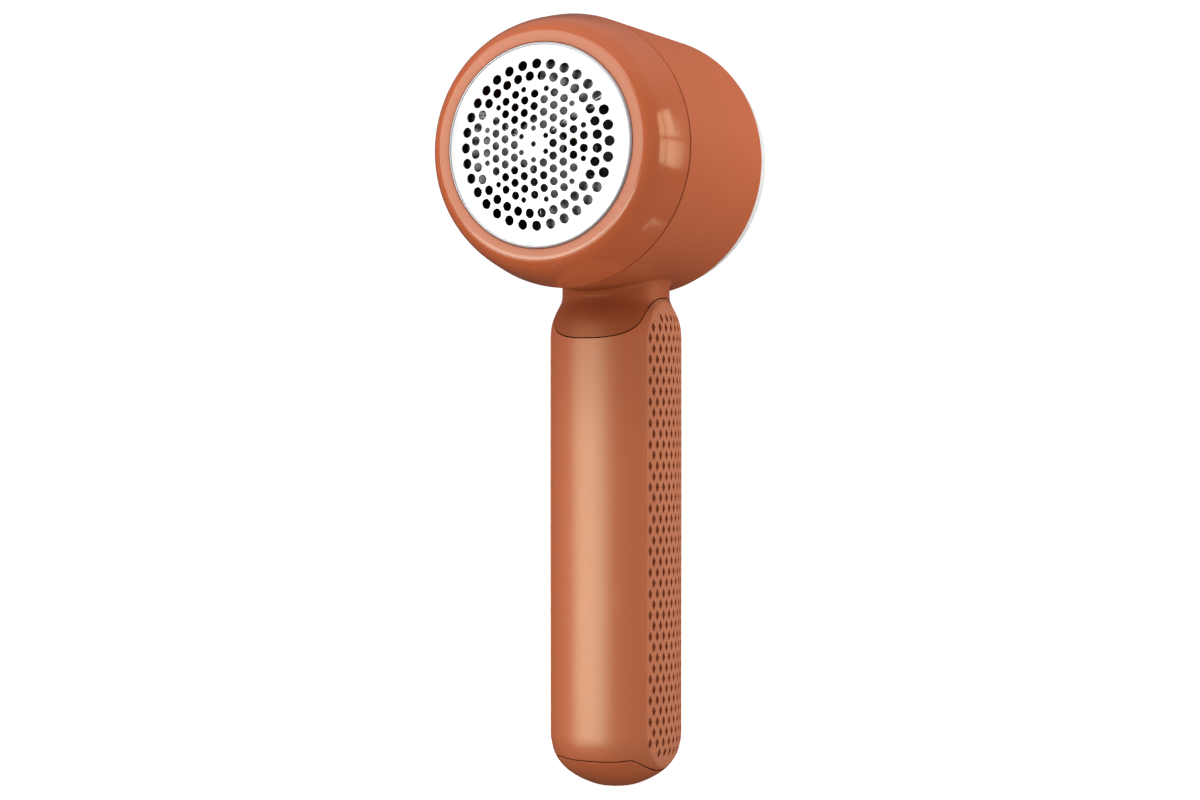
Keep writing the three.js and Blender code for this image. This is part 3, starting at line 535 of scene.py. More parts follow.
def material(
    name, srgb, rough, metal=0.0, specular=0.5, tint=None, coat=0.0, transmission=0.0, sss=0.0,
    mottle=0.04, mottle_scale=70.0, rough_var=0.06, grain=0.0, grain_scale=2200.0, edge_lift=0.0,
    shade=None, upright=False, painted_height_shade=None, scratches=0.0, brushed=None, spin=0.0,
):
    """A procedural surface.

    mottle: how far the brightness wanders; rough_var: how far the roughness does.
    grain: fine bump; wear: lightening of sharp edges; tint: colour of the reflections.
    shade: (reach in metres, power) of the painted shade in recesses; upright: that painted shade
    eased by view angle.
    tone: (z in metres, brightness) up the piece: painted shade by height.
    scratches: bump strength of marks stretched by brushed, or turned about the head at scale spin.
    """
    base = linear(srgb)
    MATS[name] = bpy.data.materials.new(name)
    graph = Graph(MATS[name])
    output = graph.add("OutputMaterial")
    shader = graph.add("BsdfPrincipled")
    graph.link(shader.outputs[0], output.inputs[0])
    place = graph.add("TexCoord").outputs["Object"]

    value = graph.remap(graph.noise(place, mottle_scale, 4.0), 1 - mottle, 1 + mottle)
    # Painted shade by height.
    if painted_height_shade:
        value = paint_shade_by_height(graph, place, value, painted_height_shade)
    colour = graph.add("HueSaturation", {"Color": base, "Value": value}).outputs[0]
    if edge_lift:
        colour = lighten_edges(graph, colour, base, edge_lift)
    # Painted shade in crevices and recesses.
    if shade:
        colour = paint_recess_shade(
            graph, shader, place, colour, base, shade, upright, specular)
    graph.link(colour, shader.inputs["Base Color"])
    fine = graph.noise(place, mottle_scale * 6, 3.0)
    roughness = graph.remap(fine, max(0.02, rough - rough_var), rough + rough_var)
    graph.link(roughness, shader.inputs["Roughness"])

    values = {
        "Metallic": metal,
        "IOR": 1.5,
        "Specular IOR Level": specular,
        "Coat Weight": coat,
        "Coat Roughness": 0.04,
        "Transmission Weight": transmission,
    }
    if tint:
        values["Specular Tint"] = tint + (1.0,)
    if sss:
        values["Subsurface Weight"] = sss
        values["Subsurface Radius"] = (0.004, 0.003, 0.002)
        values["Subsurface Scale"] = 0.3
    for key, number in values.items():
        shader.inputs[key].default_value = number

    bump = None
    if grain:
        height = graph.noise(place, grain_scale, 1.5)
        bump = graph.add("Bump", {"Strength": grain, "Distance": 0.00002, "Height": height})
    if scratches:
        if spin:
            source = head_radius(graph, place)
        else:
            source = graph.add("Mapping", {"Scale": brushed, "Vector": place}).outputs[0]
        height = graph.noise(source, spin or 1.0, 3.0, 0.65)
        marks = graph.add("Bump", {"Strength": scratches, "Distance": 0.00001, "Height": height})
        if bump:
            graph.link(bump.outputs[0], marks.inputs["Normal"])
        bump = marks
    if bump:
        graph.link(bump.outputs[0], shader.inputs["Normal"])


TERRACOTTA = (199, 101, 60)
WARM = (0.68, 1.0, 0.70)
SATIN = dict(rough=0.35, grain=0.10, grain_scale=3200, mottle=0.02, rough_var=0.03, edge_lift=0.3)

# Painted shade: tone darkens the handle's foot and the neck under the head; shade darkens recesses
# and seams.
material("body_satin", TERRACOTTA, **SATIN, specular=1.0, tint=WARM, shade=(0.04, 1.2),
         painted_height_shade=[(0.0, 0.72), (0.004, 0.80), (0.011, 0.96), (0.018, 1.0)])
material("head_satin", TERRACOTTA, **SATIN, specular=0.42, tint=(0.95, 0.85, 0.5),
         shade=(0.04, 1.0),
         painted_height_shade=[(0.112, 0.63), (0.1165, 0.65), (0.1205, 0.92), (0.124, 0.88), (0.129, 0.96),
               (0.136, 1.03)])
material("ring_gloss", (196, 99, 59), rough=0.13, grain=0.02, grain_scale=900, mottle=0.015,
         rough_var=0.02, edge_lift=0.2, specular=0.8, tint=(0.85, 1.0, 0.85), shade=(0.012, 1.0))
# Painted shade darkens the grip's dimples, eased by view angle.
material("grip_rubber", (200, 116, 81), rough=0.62, grain=0.45, grain_scale=3600, mottle=0.035,
         rough_var=0.05, specular=0.35, tint=WARM, shade=(0.0022, 1.35), upright=True)
material("foil_steel", (206, 206, 206), rough=0.26, metal=0.70, mottle=0.006, rough_var=0.012,
         scratches=0.05, spin=9000.0)
material("rim_steel", (222, 223, 225), rough=0.14, metal=0.55, mottle=0.01, rough_var=0.02,
         scratches=0.03, spin=9000.0)
material("blade_steel", (92, 91, 90), rough=0.38, metal=1.0, mottle=0.05, rough_var=0.08,
         scratches=0.15, brushed=(2500, 2500, 300))
material("blade_ground", (214, 214, 214), rough=0.22, metal=1.0, mottle=0.03, rough_var=0.05,
         scratches=0.12, brushed=(4000, 300, 300))
material("spring_steel", (190, 190, 194), rough=0.25, metal=1.0, mottle=0.03,
         scratches=0.08, brushed=(1500, 3000, 1500))
material("screw_steel", (196, 197, 200), rough=0.3, metal=1.0, mottle=0.04,
         scratches=0.12, brushed=(3000, 3000, 3000))
material("can_steel", (200, 201, 204), rough=0.28, metal=1.0, mottle=0.02,
         scratches=0.12, brushed=(300, 4000, 300))
material("socket_steel", (205, 206, 208), rough=0.22, metal=1.0, mottle=0.02,
         scratches=0.06, brushed=(800, 800, 3000))
material("brass", (196, 160, 92), rough=0.3, metal=1.0, mottle=0.03,
         scratches=0.1, brushed=(600, 4000, 600))
material("nickel", (206, 203, 194), rough=0.3, metal=1.0, mottle=0.03,
         scratches=0.1, brushed=(3500, 600, 600))
material("copper", (184, 106, 62), rough=0.35, metal=0.9, mottle=0.06,
         scratches=0.3, brushed=(900, 5000, 900))
material("ferrite", (52, 52, 55), rough=0.7, metal=0.2, grain=0.6, grain_scale=2500, mottle=0.1)
material("dark_plastic", (44, 44, 47), rough=0.45, grain=0.35, grain_scale=3000, mottle=0.06,
         edge_lift=0.3)
material("white_plastic", (226, 223, 216), rough=0.42, grain=0.25, grain_scale=2600,
         mottle=0.02, sss=0.1)
material("frosted_plastic", (254, 253, 249), rough=0.34, grain=0.15, grain_scale=2600,
         mottle=0.012, transmission=0.08, sss=0.2)
material("light_lens", (238, 240, 240), rough=0.25, grain=0.05, mottle=0.02, transmission=0.5)
material("seal_rubber", (48, 48, 50), rough=0.75, grain=0.5, grain_scale=3500, mottle=0.08)
material("circuit_board", (28, 96, 62), rough=0.42, grain=0.5, grain_scale=1400, mottle=0.12,
         mottle_scale=220)
material("cell_wrap", (48, 92, 150), rough=0.28, grain=0.08, grain_scale=600, mottle=0.03,
         coat=0.3)
material("lead_red", (168, 36, 28), rough=0.45, grain=0.2, mottle=0.05)
material("lead_black", (30, 30, 32), rough=0.45, grain=0.2, mottle=0.08)

# ---------------------------------------------------------------- front ring, rim and foil

LIP_Y = -41.6  # the ring's front face
LIP_BACK_Y = LIP_Y + 1.2


def build_ring():
    outer = spline([
        (33.02, -28.1), (32.84, -29.0), (32.5, -30.6), (32.05, -32.6), (31.5, -34.9),
        (30.95, -36.7), (30.4, -38.1), (29.85, -39.2), (29.2, -40.15), (28.4, -40.95),
        (27.75, -41.38), (27.15, -41.58)], 5)
    inner = rounded([
        (27.1, LIP_Y), (24.43, LIP_Y, 0.18), (24.43, LIP_BACK_Y), (27.1, LIP_BACK_Y),
        (27.1, -36.4), (30.98, -33.4), (30.98, -27.94), (32.9, -27.94), (33.01, -28.0)], 4)
    return revolve(outer + inner, 320)


finish(build_ring(), "front_ring", sharp=40)

turned("foil_rim", [
    (23.72, -42.02, 0.1), (23.95, -42.14, 0.12), (24.2, -41.98, 0.15), (24.38, -41.68, 0.15),
    (24.38, -40.2), (26.8, -40.2, 0.1), (26.8, -39.3, 0.1), (23.72, -39.3)], 5, 320)

APEX_Y, DOME_R = -44.43, 113.9  # the foil's domed front
FOIL_THICKNESS = 0.28
FOIL_R = 23.7


def dome_y(r):
    return APEX_Y + DOME_R - math.sqrt(DOME_R**2 - r * r)


def foil_holes():
    """(x, z, radius) of each hole, about the head's axis."""
    holes = []

    def hole(circle_r, angle, radius):
        holes.append((circle_r * math.sin(angle), circle_r * math.cos(angle), radius))

    # two staggered outer rings
    for i in range(32):
        a = i * 2 * math.pi / 32
        hole(19.1, a, 1.27)
        hole(16.25, a + math.pi / 32, 1.19)
    # a honeycomb
    pitch = 2.976
    for i in range(-5, 6):
        for j in range(-9, 10):
            if (i + j) % 2:
                continue
            x, z = i * pitch * math.sqrt(3) / 2, j * pitch / 2
            if pitch * 1.1 < math.hypot(x, z) < 13.35:
                holes.append((x, z, 1.04))
    # small holes at the centre and round the honeycomb
    holes.append((0, 0, 0.69))
    for i in range(6):
        hole(3.72, i * math.pi / 3, 0.69)
    for i in range(12):
        hole(13.35, math.radians(i * 30 + 15) + (0.035 if i % 2 else -0.035), 0.71)
    return holes


def build_foil():
    sheet = Sheet()
    sheet.loop(circle(0, 0, FOIL_R, 240))
    holes = foil_holes()
    for x, z, radius in holes:
        sheet.loop(circle(x, z, radius, 28 if radius > 0.8 else 22))
    hole_x, hole_z, hole_r = np.array(holes).T
    # loose points let the sheet follow the dome
    step = 0.8
    for i in range(-32, 33):
        for j in range(-36, 37):
            x = i * step + (0.5 * step if j % 2 else 0)
            z = j * step * 0.866
            if math.hypot(x, z) > FOIL_R - 0.45:
                continue
            if (np.hypot(hole_x - x, hole_z - z) - hole_r).min() < 0.28:
                continue
            sheet.point(x, z)
    flat, triangles, _ = sheet.triangulate()
    triangles = np.array(triangles)

    # drop the triangles that fill the holes
    centres = flat[triangles].mean(axis=1)
    away = np.hypot(centres[:, None, 0] - hole_x, centres[:, None, 1] - hole_z)
    triangles = triangles[~(away < hole_r * 0.96).any(axis=1)]
    used = np.unique(triangles)
    renumber = -np.ones(len(flat), int)
    renumber[used] = np.arange(len(used))
    flat, triangles = flat[used], renumber[triangles]

    count = len(flat)
    verts = []
    for layer in (0, 1):
        # thickness is measured along the dome's own radius
        k = 1 - layer * FOIL_THICKNESS / DOME_R
        for x, z in flat:
            y = APEX_Y + DOME_R + (dome_y(math.hypot(x, z)) - APEX_Y - DOME_R) * k
            verts.append((x * k, y, HEAD_Z + z * k))
    faces = [tuple(t) for t in triangles]
    faces += [tuple(count + k for k in t[::-1]) for t in triangles]
    # walls wherever an edge belongs to one triangle only
    edge_uses = {}
    for t in triangles:
        for a, b in ((t[0], t[1]), (t[1], t[2]), (t[2], t[0])):
            edge_uses.setdefault((min(a, b), max(a, b)), []).append((a, b))
    for uses in edge_uses.values():
        if len(uses) == 1:
            a, b = uses[0]
            faces.append((b, a, count + a, count + b))
    return solid(verts, faces)


finish(build_foil(), "foil", sharp=50)

turned("foil_retainer", [
    (24.9, -39.0, 0.2), (26.8, -39.0, 0.2), (26.8, -35.2, 0.3), (29.0, -34.2, 0.2),
    (29.0, -33.3, 0.2), (24.9, -33.3, 0.2)], 4, 192, material_name="dark_plastic")

# ---------------------------------------------------------------- blades

BLADE_FRONT_Y, BLADE_BACK_Y = -40.9, -40.2
GROUND_Y = -40.95  # faces in front of this are ground bright
LOBE_R = 20.9


def build_lobe(degrees):
    angles = [math.radians(-29 + 58 * k / 24) for k in range(25)]
    outline = [(4.4, 3.9)]
    outline += [(LOBE_R * math.cos(a), -LOBE_R * math.sin(a)) for a in angles]
    outline.append((4.4, -3.9))
    return bevel(turn(prism(outline, BLADE_FRONT_Y, BLADE_BACK_Y, at=ON_HEAD), degrees), 0.1)


def build_wing(degrees):
    """An upright wing with a ground cutting edge that follows the dome."""
    count = 27
    verts, faces = [], []
    for k in range(count):
        r = 5.0 + 0.62 * k
        top = dome_y(r) + 0.85
        verts += [
            (r, BLADE_BACK_Y, HEAD_Z - 1.1), (r, min(top + 1.0, -41.05), HEAD_Z - 1.1),
            (r, top, HEAD_Z + 0.26), (r, top, HEAD_Z + 0.36), (r, BLADE_BACK_Y, HEAD_Z + 0.4),
        ]
    for k in range(count - 1):
        for q in range(5):
            a, b = 5 * k + q, 5 * k + (q + 1) % 5
            faces.append((a, b, b + 5, a + 5))
    faces.append((4, 3, 2, 1, 0))
    faces.append(tuple(5 * (count - 1) + q for q in range(5)))
    return turn(solid(verts, faces), degrees)


def build_blade():
    plate = rod(6.4, BLADE_FRONT_Y, BLADE_BACK_Y, segs=72)
    for i in range(3):
        middle = 60 + i * 120
        lobe = build_lobe(middle)
        wing = build_wing(middle + 28)
        join(plate, lobe)
        join(plate, wing)
    return cut(plate, rod(3.0, -46, -30, segs=48))


blade = finish(build_blade(), "blade_plate", sharp=25)
blade.data.materials.append(MATS["blade_ground"])
for poly in blade.data.polygons:
    if poly.center.y < GROUND_Y * MM:
        poly.material_index = 1


def build_hub():
    hub = revolve(rounded([
        (0, -41.6), (2.2, -41.6, 0.2), (2.65, -41.2, 0.15), (2.65, -39.85, 0.12),
        (6.2, -39.85, 0.2), (6.2, -38.7, 0.25), (4.8, -38.7, 0.25), (4.8, -35.0, 0.3),
        (0, -35.0)], 4), 96)
    return cut(hub, rod(2.95, -39.1, -34.0, segs=6))


def build_coupling():
    coupling = revolve(
        rounded([(0, -38.0), (2.55, -38.0, 0.2), (2.55, -29.0), (0, -29.0)], 3), 6)
    join(coupling, revolve(
        rounded([(0, -29.4), (5.0, -29.4, 0.2), (5.0, -28.3, 0.2), (0, -28.3)], 4), 64))
    return cut(coupling, rod(1.12, -40, -27))


finish(build_hub(), "blade_hub")
finish(build_coupling(), "drive_coupling")
turned("motor_shaft", [(0, -37.6), (1.0, -37.6, 0.15), (1.0, 4.6, 0.15), (0, 4.6)], 3, 48)


def build_spring():
    radius, wire_r, turns = 3.6, 0.3, 4.6
    front_y, rear_y = -34.35, -29.85
    steps, sides = 220, 14
    verts, faces = [], []
    for k in range(steps + 1):
        t = k / steps
        a = t * turns * 2 * math.pi
        # the end turns are closed and flat
        climb = min(max((t - 0.1) / 0.8, 0), 1)
        y = front_y + (rear_y - front_y) * climb
        for q in range(sides):
            b = 2 * math.pi * q / sides
            r = radius + wire_r * math.cos(b)
            verts.append((r * math.cos(a), y + wire_r * math.sin(b), HEAD_Z + r * math.sin(a)))
    for k in range(steps):
        for q in range(sides):
            a, b = k * sides + q, k * sides + (q + 1) % sides
            faces.append((a, b, b + sides, a + sides))
    faces.append(tuple(range(sides))[::-1])
    faces.append(tuple(range(steps * sides, (steps + 1) * sides)))
    return solid(verts, faces)


spring = finish(build_spring(), "blade_spring")
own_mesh(spring)

# ---------------------------------------------------------------- head housing


def pod_screw_holes(radius, y0, y1):
    at = (0, 0, HEAD_Z + POD_SCREW_R)
    return [turn(rod(radius, y0, y1, at=at, segs=24), a) for a in POD_SCREW_ANGLES]


def build_barrel():
    profile = [
        (31.3, -26.0), (31.3, 15.85), (31.45, 16.0), (32.88, 16.0), (33.03, 15.93),
        (BARREL_R, 15.78)]
    profile += [(BARREL_R, y) for y in stations(15.2, -15.2, 38)]
    profile += [(BARREL_R, y) for y in stations(-15.2, -27.2, 6)[1:]]
    profile += [
        (33.07, -27.36), (32.93, -27.5), (30.7, -27.5), (30.7, -32.8), (30.5, -33.0),
        (27.7, -33.0), (27.5, -32.8), (27.5, -26.0)]
    return revolve(profile, 256)


def build_neck():
    """Swept round the handle's axis, with a fillet that runs into the barrel."""
    segs, fillet, inner_r = 256, 1.7, 9.0
    centre_r = NECK_R + fillet
    radii = np.linspace(12.5, centre_r + fillet + 0.6, 260)
    verts, faces = [], []
    for k in range(segs):
        angle = 2 * math.pi * k / segs
        s, c = math.sin(angle), math.cos(angle)

        def barrel_z(r):
            return HEAD_Z - np.sqrt(BARREL_R**2 - (r * s) ** 2)

        # find the fillet's centre, at which its circle just touches the barrel
        barrel = barrel_z(radii)
        ceiling = min(barrel.max(), barrel_z(centre_r))
        lo, hi = 115.0, 135.0
        for _ in range(40):
            centre_z = (lo + hi) / 2
            gaps = np.hypot(radii - centre_r, barrel - centre_z)
            if centre_z > ceiling or gaps.min() < fillet - 0.012:
                hi = centre_z
            else:
                lo = centre_z
        nearest = int(gaps.argmin())
        touch = math.atan2(barrel[nearest] - centre_z, radii[nearest] - centre_r)

        low = seam_z(neck_seam, angle) + 0.27
        skin_low = low + 0.07
        column = [(inner_r, low), (handle_r(low) - 0.06, low), (handle_r(low), skin_low)]
        for t in np.linspace(0, 1, 16)[1:]:
            z = skin_low + (centre_z - low - 0.07) * t
            column.append((handle_r(z), z))
        excess = column[-1][0] - NECK_R
        for q, a in enumerate(np.linspace(math.pi, touch, 13)):
            if q:
                r = centre_r + fillet * math.cos(a) + excess * (1 - q / 12)
                column.append((r, centre_z + fillet * math.sin(a)))
        # the last two points lie inside the barrel's wall
        for r in (column[-1][0], inner_r):
            column.append((r, barrel_z(r) + 0.9))
        verts += [(r * s, -r * c, z) for r, z in column]
    count = len(column)
    for k in range(segs):
        m = (k + 1) % segs
        for q in range(count):
            p = (q + 1) % count
            faces.append((k * count + q, m * count + q, m * count + p, k * count + p))
    return solid(verts, faces)


def build_housing():
    barrel = build_barrel()
    neck = build_neck()
    spigot = revolve(rounded([
        (13.6, 99.0, 0.3), (13.6, 112.0), (12.8, 116.5), (11.2, 121.0), (9.4, 121.0),
        (10.7, 116.5), (11.5, 112.0), (11.5, 99.0, 0.3)], 3), 160, "Z", ORIGIN)
    join(neck, spigot)
    join(barrel, neck)
    tools = [block(-2.8, 2.8, -5.8, 1.8, 118, 130)]
    tools += pod_screw_holes(0.95, -30.2, -25)
    tools.append(cross_rod(1.1, -16, 16, NECK_SCREW_Z, 24))
    return cut(barrel, *tools)


finish(build_housing(), "head_housing", "head_satin", sharp=30)

# ---------------------------------------------------------------- handle shells


def solid_under(curve, shift):
    """Everything under a parting line."""
    sides, low, outer_r = 360, -10, 21.0
    radii = (7.0, 10.0, 13.0, 15.0, 16.6, outer_r)
    verts, faces = [], []
    for k in range(sides):
        angle = 2 * math.pi * k / sides
        z = seam_z(curve, angle) + shift
        for r in radii:
            verts.append((r * math.sin(angle), -r * math.cos(angle), z))
        verts.append((outer_r * math.sin(angle), -outer_r * math.cos(angle), low))
    m = len(radii) + 1
    top, bottom = len(verts), len(verts) + 1
    verts += [(0, 0, float(curve(45)) + shift), (0, 0, low)]
    for k in range(sides):
        j = (k + 1) % sides
        faces.append((top, k * m, j * m))
        for q in range(m - 1):
            faces.append((k * m + q, k * m + q + 1, j * m + q + 1, j * m + q))
        faces.append((bottom, j * m + m - 1, k * m + m - 1))
    return solid(verts, faces)


def handle_solid(grow, z0, z1, segs=224):
    """The handle's outer form, its radius grown by grow."""
    heights = [z0]
    for start, stop, step in ((0, 2.0, 0.2), (2.0, 14.0, 0.5), (14.0, 111.0, 3.88),
                              (111.0, 124.0, 0.5)):
        heights += [z for z in np.arange(start, stop, step) if z0 + 0.05 < z < z1 - 0.05]
    heights.append(z1)
    skin = [(max(0.3, handle_r(z) + grow), z) for z in heights]
    return revolve([(0, z0)] + skin + [(0, z1)], segs, "Z", ORIGIN)


def bore_solid(grow, z0, z1):
    bore_z, bore_r = zip(*BORE)
    heights = [z0] + [z for z in bore_z if z0 < z < z1] + [z1]
    wall = [(float(np.interp(z, bore_z, bore_r)) + grow, z) for z in heights]
    return revolve([(0, z0)] + wall + [(0, z1)], 160, "Z", ORIGIN)


def stadium(half_width, lo, hi, steps=40):
    """A (y, z) outline with round ends."""
    out = []
    for start, z in ((0, hi - half_width), (math.pi, lo + half_width)):
        for k in range(steps + 1):
            a = start + math.pi * k / steps
            out.append((half_width * math.cos(a), z + half_width * math.sin(a)))
    return out


def grip_pocket(side):
    slack = 0.015
    outline = stadium(GRIP_HALF_WIDTH + slack, GRIP_LO - slack, GRIP_HI + slack)
    return cut(prism(outline, 5 * side, 25 * side, "X"), handle_solid(-1.5, 0.5, 126))


def build_shells():
    front = handle_solid(0, 1.0, 127)
    clip(front, solid_under(neck_seam, 0.0))
    cut(front, solid_under(cap_seam, 0.26))
    cut(front, bore_solid(0, 0, 130))
    cut(front, grip_pocket(1), grip_pocket(-1))
    cut(front, *[cross_rod(1.3, -20, 20, z, 32) for z in (NECK_SCREW_Z, CAP_SCREW_Z)])
    rear = bpy.data.objects.new("rear", front.data.copy())
    scene.collection.objects.link(rear)
    clip(front, block(-30, 30, -30, -0.06, -5, 130))
    clip(rear, block(-30, 30, 0.06, 30, -5, 130))
    for z in BOARD_SCREW_Z:
        join(rear, rod(2.3, 9.9, 14.6, at=(0, 0, z)))
    tools = [
        # the slider's pocket and slot
        prism(slab(9.3, 18.5, 1.2, z=88.6), 15.05, 20),
        block(-1.7, 1.7, 12, 20, 84.4, 93.6),
        # the charging port and its recess
        prism(slab(9.5, 3.7, 1.8, 10, z=PORT_Z), 12, 20),
        prism(slab(11.0, 5.2, 2.5, 10, z=PORT_Z), 15.75, 20),
        rod(1.3, 12, 20, at=(0, 0, LIGHT_Z), segs=40),
    ]
    tools += [rod(1.05, 9, 13.4, at=(0, 0, z), segs=24) for z in BOARD_SCREW_Z]
    cut(rear, *tools)
    return front, rear


front_shell, rear_shell = build_shells()
finish(front_shell, "front_shell", sharp=30)
finish(rear_shell, "rear_shell", sharp=30)

# ---------------------------------------------------------------- grips and end cap

PER_DEGREE = math.radians(1) * HANDLE_R  # millimetres of skin
# columns of dimples, in degrees off the middle of the side
EVEN_COLUMNS = (3.7, 11.1, 18.5, 25.9, 33.3)
ODD_COLUMNS = (0, 7.4, 14.8, 22.2, 29.6)


def diamonds():
    """(distance round the skin, z) of each dimple on a grip."""
    out = []
    for row in range(-2, 40):
        z = 111.78 - 2.626 * row
        columns = ODD_COLUMNS if row % 2 else EVEN_COLUMNS
        if row == -2:
            z = 116.75
            columns = columns[:3]
        elif row == 39:
            columns = columns[:4]
        for column in columns:
            for sign in (1, -1) if column else (1,):
                out.append((sign * column * PER_DEGREE, z))
    return out


def grip_outline(inset):
    """The grip's edge, finely divided and unrolled to (distance round the skin, z)."""
    corners = stadium(GRIP_HALF_WIDTH - inset, GRIP_LO + inset, GRIP_HI - inset, 44)
    divided = []
    for (y0, z0), (y1, z1) in zip(corners, corners[1:] + corners[:1]):
        m = max(1, round(math.hypot(y1 - y0, z1 - z0) / 0.9))
        divided += [(y0 + (y1 - y0) * t / m, z0 + (z1 - z0) * t / m) for t in range(m)]
    return [(math.degrees(math.asin(y / handle_r(z))) * PER_DEGREE, z) for y, z in divided]


def reach(u, z):
    """The distance from the grip's spine, to hold against its half width."""
    y = handle_r(z) * math.sin(math.radians(u / PER_DEGREE))
    spine_z = min(max(z, GRIP_LO + GRIP_HALF_WIDTH), GRIP_HI - GRIP_HALF_WIDTH)
    return math.hypot(y, z - spine_z)


def build_grip(side):
    edge = grip_outline(0.0)
    outer = Sheet()
    outer.loop(edge, 0.05)
    outer.loop(grip_outline(0.1))
    dimples = diamonds()
    for u, z in dimples:
        # (half width, half height, depth) of the dimple's mouth and floor
        for w, h, depth in ((0.58, 1.28, 0.0), (0.47, 1.1, 0.46)):
            outer.loop([(u + w, z), (u, z + h), (u - w, z), (u, z - h)], depth)
    # lattice points between the dimples
    dimple_u, dimple_z = np.array(dimples).T
    row = 0
    z = 120.6
    while z > 5.4:
        for q in range(-14, 15):
            u = (q + (0.5 if row % 2 else 0)) * 0.95
            if reach(u, z) > GRIP_HALF_WIDTH - 0.75:
                continue
            if (np.abs(dimple_u - u) / 1.05 + np.abs(dimple_z - z) / 1.75).min() < 1.0:
                continue
            outer.point(u, z)
        z -= 0.875
        row += 1
    # inner face: a coarser skin under the same outline
    inner = Sheet()
    inner.loop(edge)
    z = 119.0
    while z > 6.5:
        for q in range(-6, 7):
            u = q * 1.55
            if reach(u, z) < GRIP_HALF_WIDTH - 1.0:
                inner.point(u, z)
        z -= 2.2

    def place(u, z, depth):
        a = math.radians(u / PER_DEGREE)
        r = handle_r(z) - depth
        return (side * r * math.cos(a), r * math.sin(a), z)

    flat, triangles, sources = outer.triangulate()
    depths = [outer.depths[s[0]] if len(s) else 0.0 for s in sources]
    verts = [place(u, z, depth) for (u, z), depth in zip(flat, depths)]
    count = len(verts)
    inner_flat, inner_triangles, inner_sources = inner.triangulate()
    verts += [place(u, z, 1.2) for u, z in inner_flat]
    faces = triangles + [tuple(count + k for k in t[::-1]) for t in inner_triangles]
    top, under = vertex_of(sources), vertex_of(inner_sources)
    for k in range(len(edge)):
        j = (k + 1) % len(edge)
        faces.append((top[k], top[j], count + under[j], count + under[k]))
    x0, x1 = sorted((10 * side, 15.9 * side))
    return cut(
        solid(verts, faces),
        *[cross_rod(2.7, x0, x1, z, 40) for z in (NECK_SCREW_Z, CAP_SCREW_Z)])


def build_cap():
    cap = handle_solid(0, 0.0, 11, 256)
    clip(cap, solid_under(cap_seam, 0.0))
    join(cap, bore_solid(-0.3, 3.0, 17.5))
    hollow = [(0, 3.2), (6.0, 3.2), (11.2, 9.0), (11.2, 19), (0, 19)]
    return cut(cap, revolve(hollow, 128, "Z", ORIGIN), cross_rod(1.1, -16, 16, CAP_SCREW_Z, 24))


finish(build_grip(1), "grip_right", sharp=24)
finish(build_grip(-1), "grip_left", sharp=24)
finish(build_cap(), "end_cap", sharp=30)

# ---------------------------------------------------------------- rear of the head, controls

turned("lint_container", [
    (0, 25.0), (27.2, 25.0, 2.0), (31.5, 22.6, 2.6), (32.75, 16.22, 0.25), (30.6, 16.22, 0.15),
    (30.6, 8.7, 0.12), (29.8, 8.7, 0.12), (29.8, 7.0, 0.12), (30.5, 7.0, 0.12),
    (30.5, 3.8, 0.3), (28.6, 3.8, 0.3), (28.6, 21.9, 2.2), (26.8, 23.3, 1.0), (0, 23.3)],
    7, 288, sharp=30)
finish(revolve(circle(30.55, 7.85, 0.5, 20), 192), "container_seal", sharp=60)


def build_slider():
    slider = bevel(prism(slab(8.8, 13.0, 1.3, 8, z=86.1), 15.3, 16.85), 0.35, 4)
    for z in (82.6, 84.9, 87.2, 89.5):
        join(slider, bevel(prism(slab(6.8, 1.0, 0.45, 6, z=z), 16.5, 17.4), 0.22, 3))
    return join(slider, block(-1.3, 1.3, 12.8, 15.5, 84.8, 88.2))


def build_socket():
    socket = prism(slab(8.9, 3.2, 1.55, 12, z=PORT_Z), 9.6, 15.6)
    cut(socket, prism(slab(8.3, 2.6, 1.28, 12, z=PORT_Z), 11.0, 17))
    return join(socket, bevel(block(-3.3, 3.3, 10.5, 15.0, 21.7, 22.3), 0.12))


finish(build_slider(), "power_slider", sharp=30)
finish(build_socket(), "charging_socket", sharp=30)
turned("status_lens", [(0, 10.7), (1.05, 10.7, 0.1), (1.05, 16.45, 0.25), (0, 16.55)],
       5, 48, at=(0, 0, LIGHT_Z))

# ---------------------------------------------------------------- screws

# (head radius, head height, shank radius, length)
POD_SCREW = (1.7, 1.2, 0.8, 7.6)
MOTOR_SCREW = (1.9, 1.1, 0.85, 3.8)
HANDLE_SCREW = (2.3, 0.55, 0.9, 3.9)
BOARD_SCREW = (1.9, 1.1, 0.8, 5.2)


def build_screw(head_r, head_h, shank_r, length):
    """A cross-head screw whose head faces +Y, its top at the origin."""
    body = revolve(rounded([
        (0, 0.0), (head_r * 0.8, 0.0, 0.25), (head_r, -head_h * 0.5, 0.15),
        (head_r, -head_h, 0.08), (shank_r, -head_h, 0.05), (shank_r, -length + shank_r, 0.1),
        (0, -length)], 4), 48, at=ORIGIN)
    arm, floor_y, half = head_r * 0.6, -head_h * 0.55, 0.22
    return cut(
        body, block(-arm, arm, floor_y, 1, -half, half), block(-half, half, floor_y, 1, -arm, arm))


def place_screw(node, size, at, degrees=0, axis="X"):
    screw = turn(build_screw(*size), degrees, axis, ORIGIN)
    screw.data.transform(Matrix.Translation(at))
    finish(screw, node)


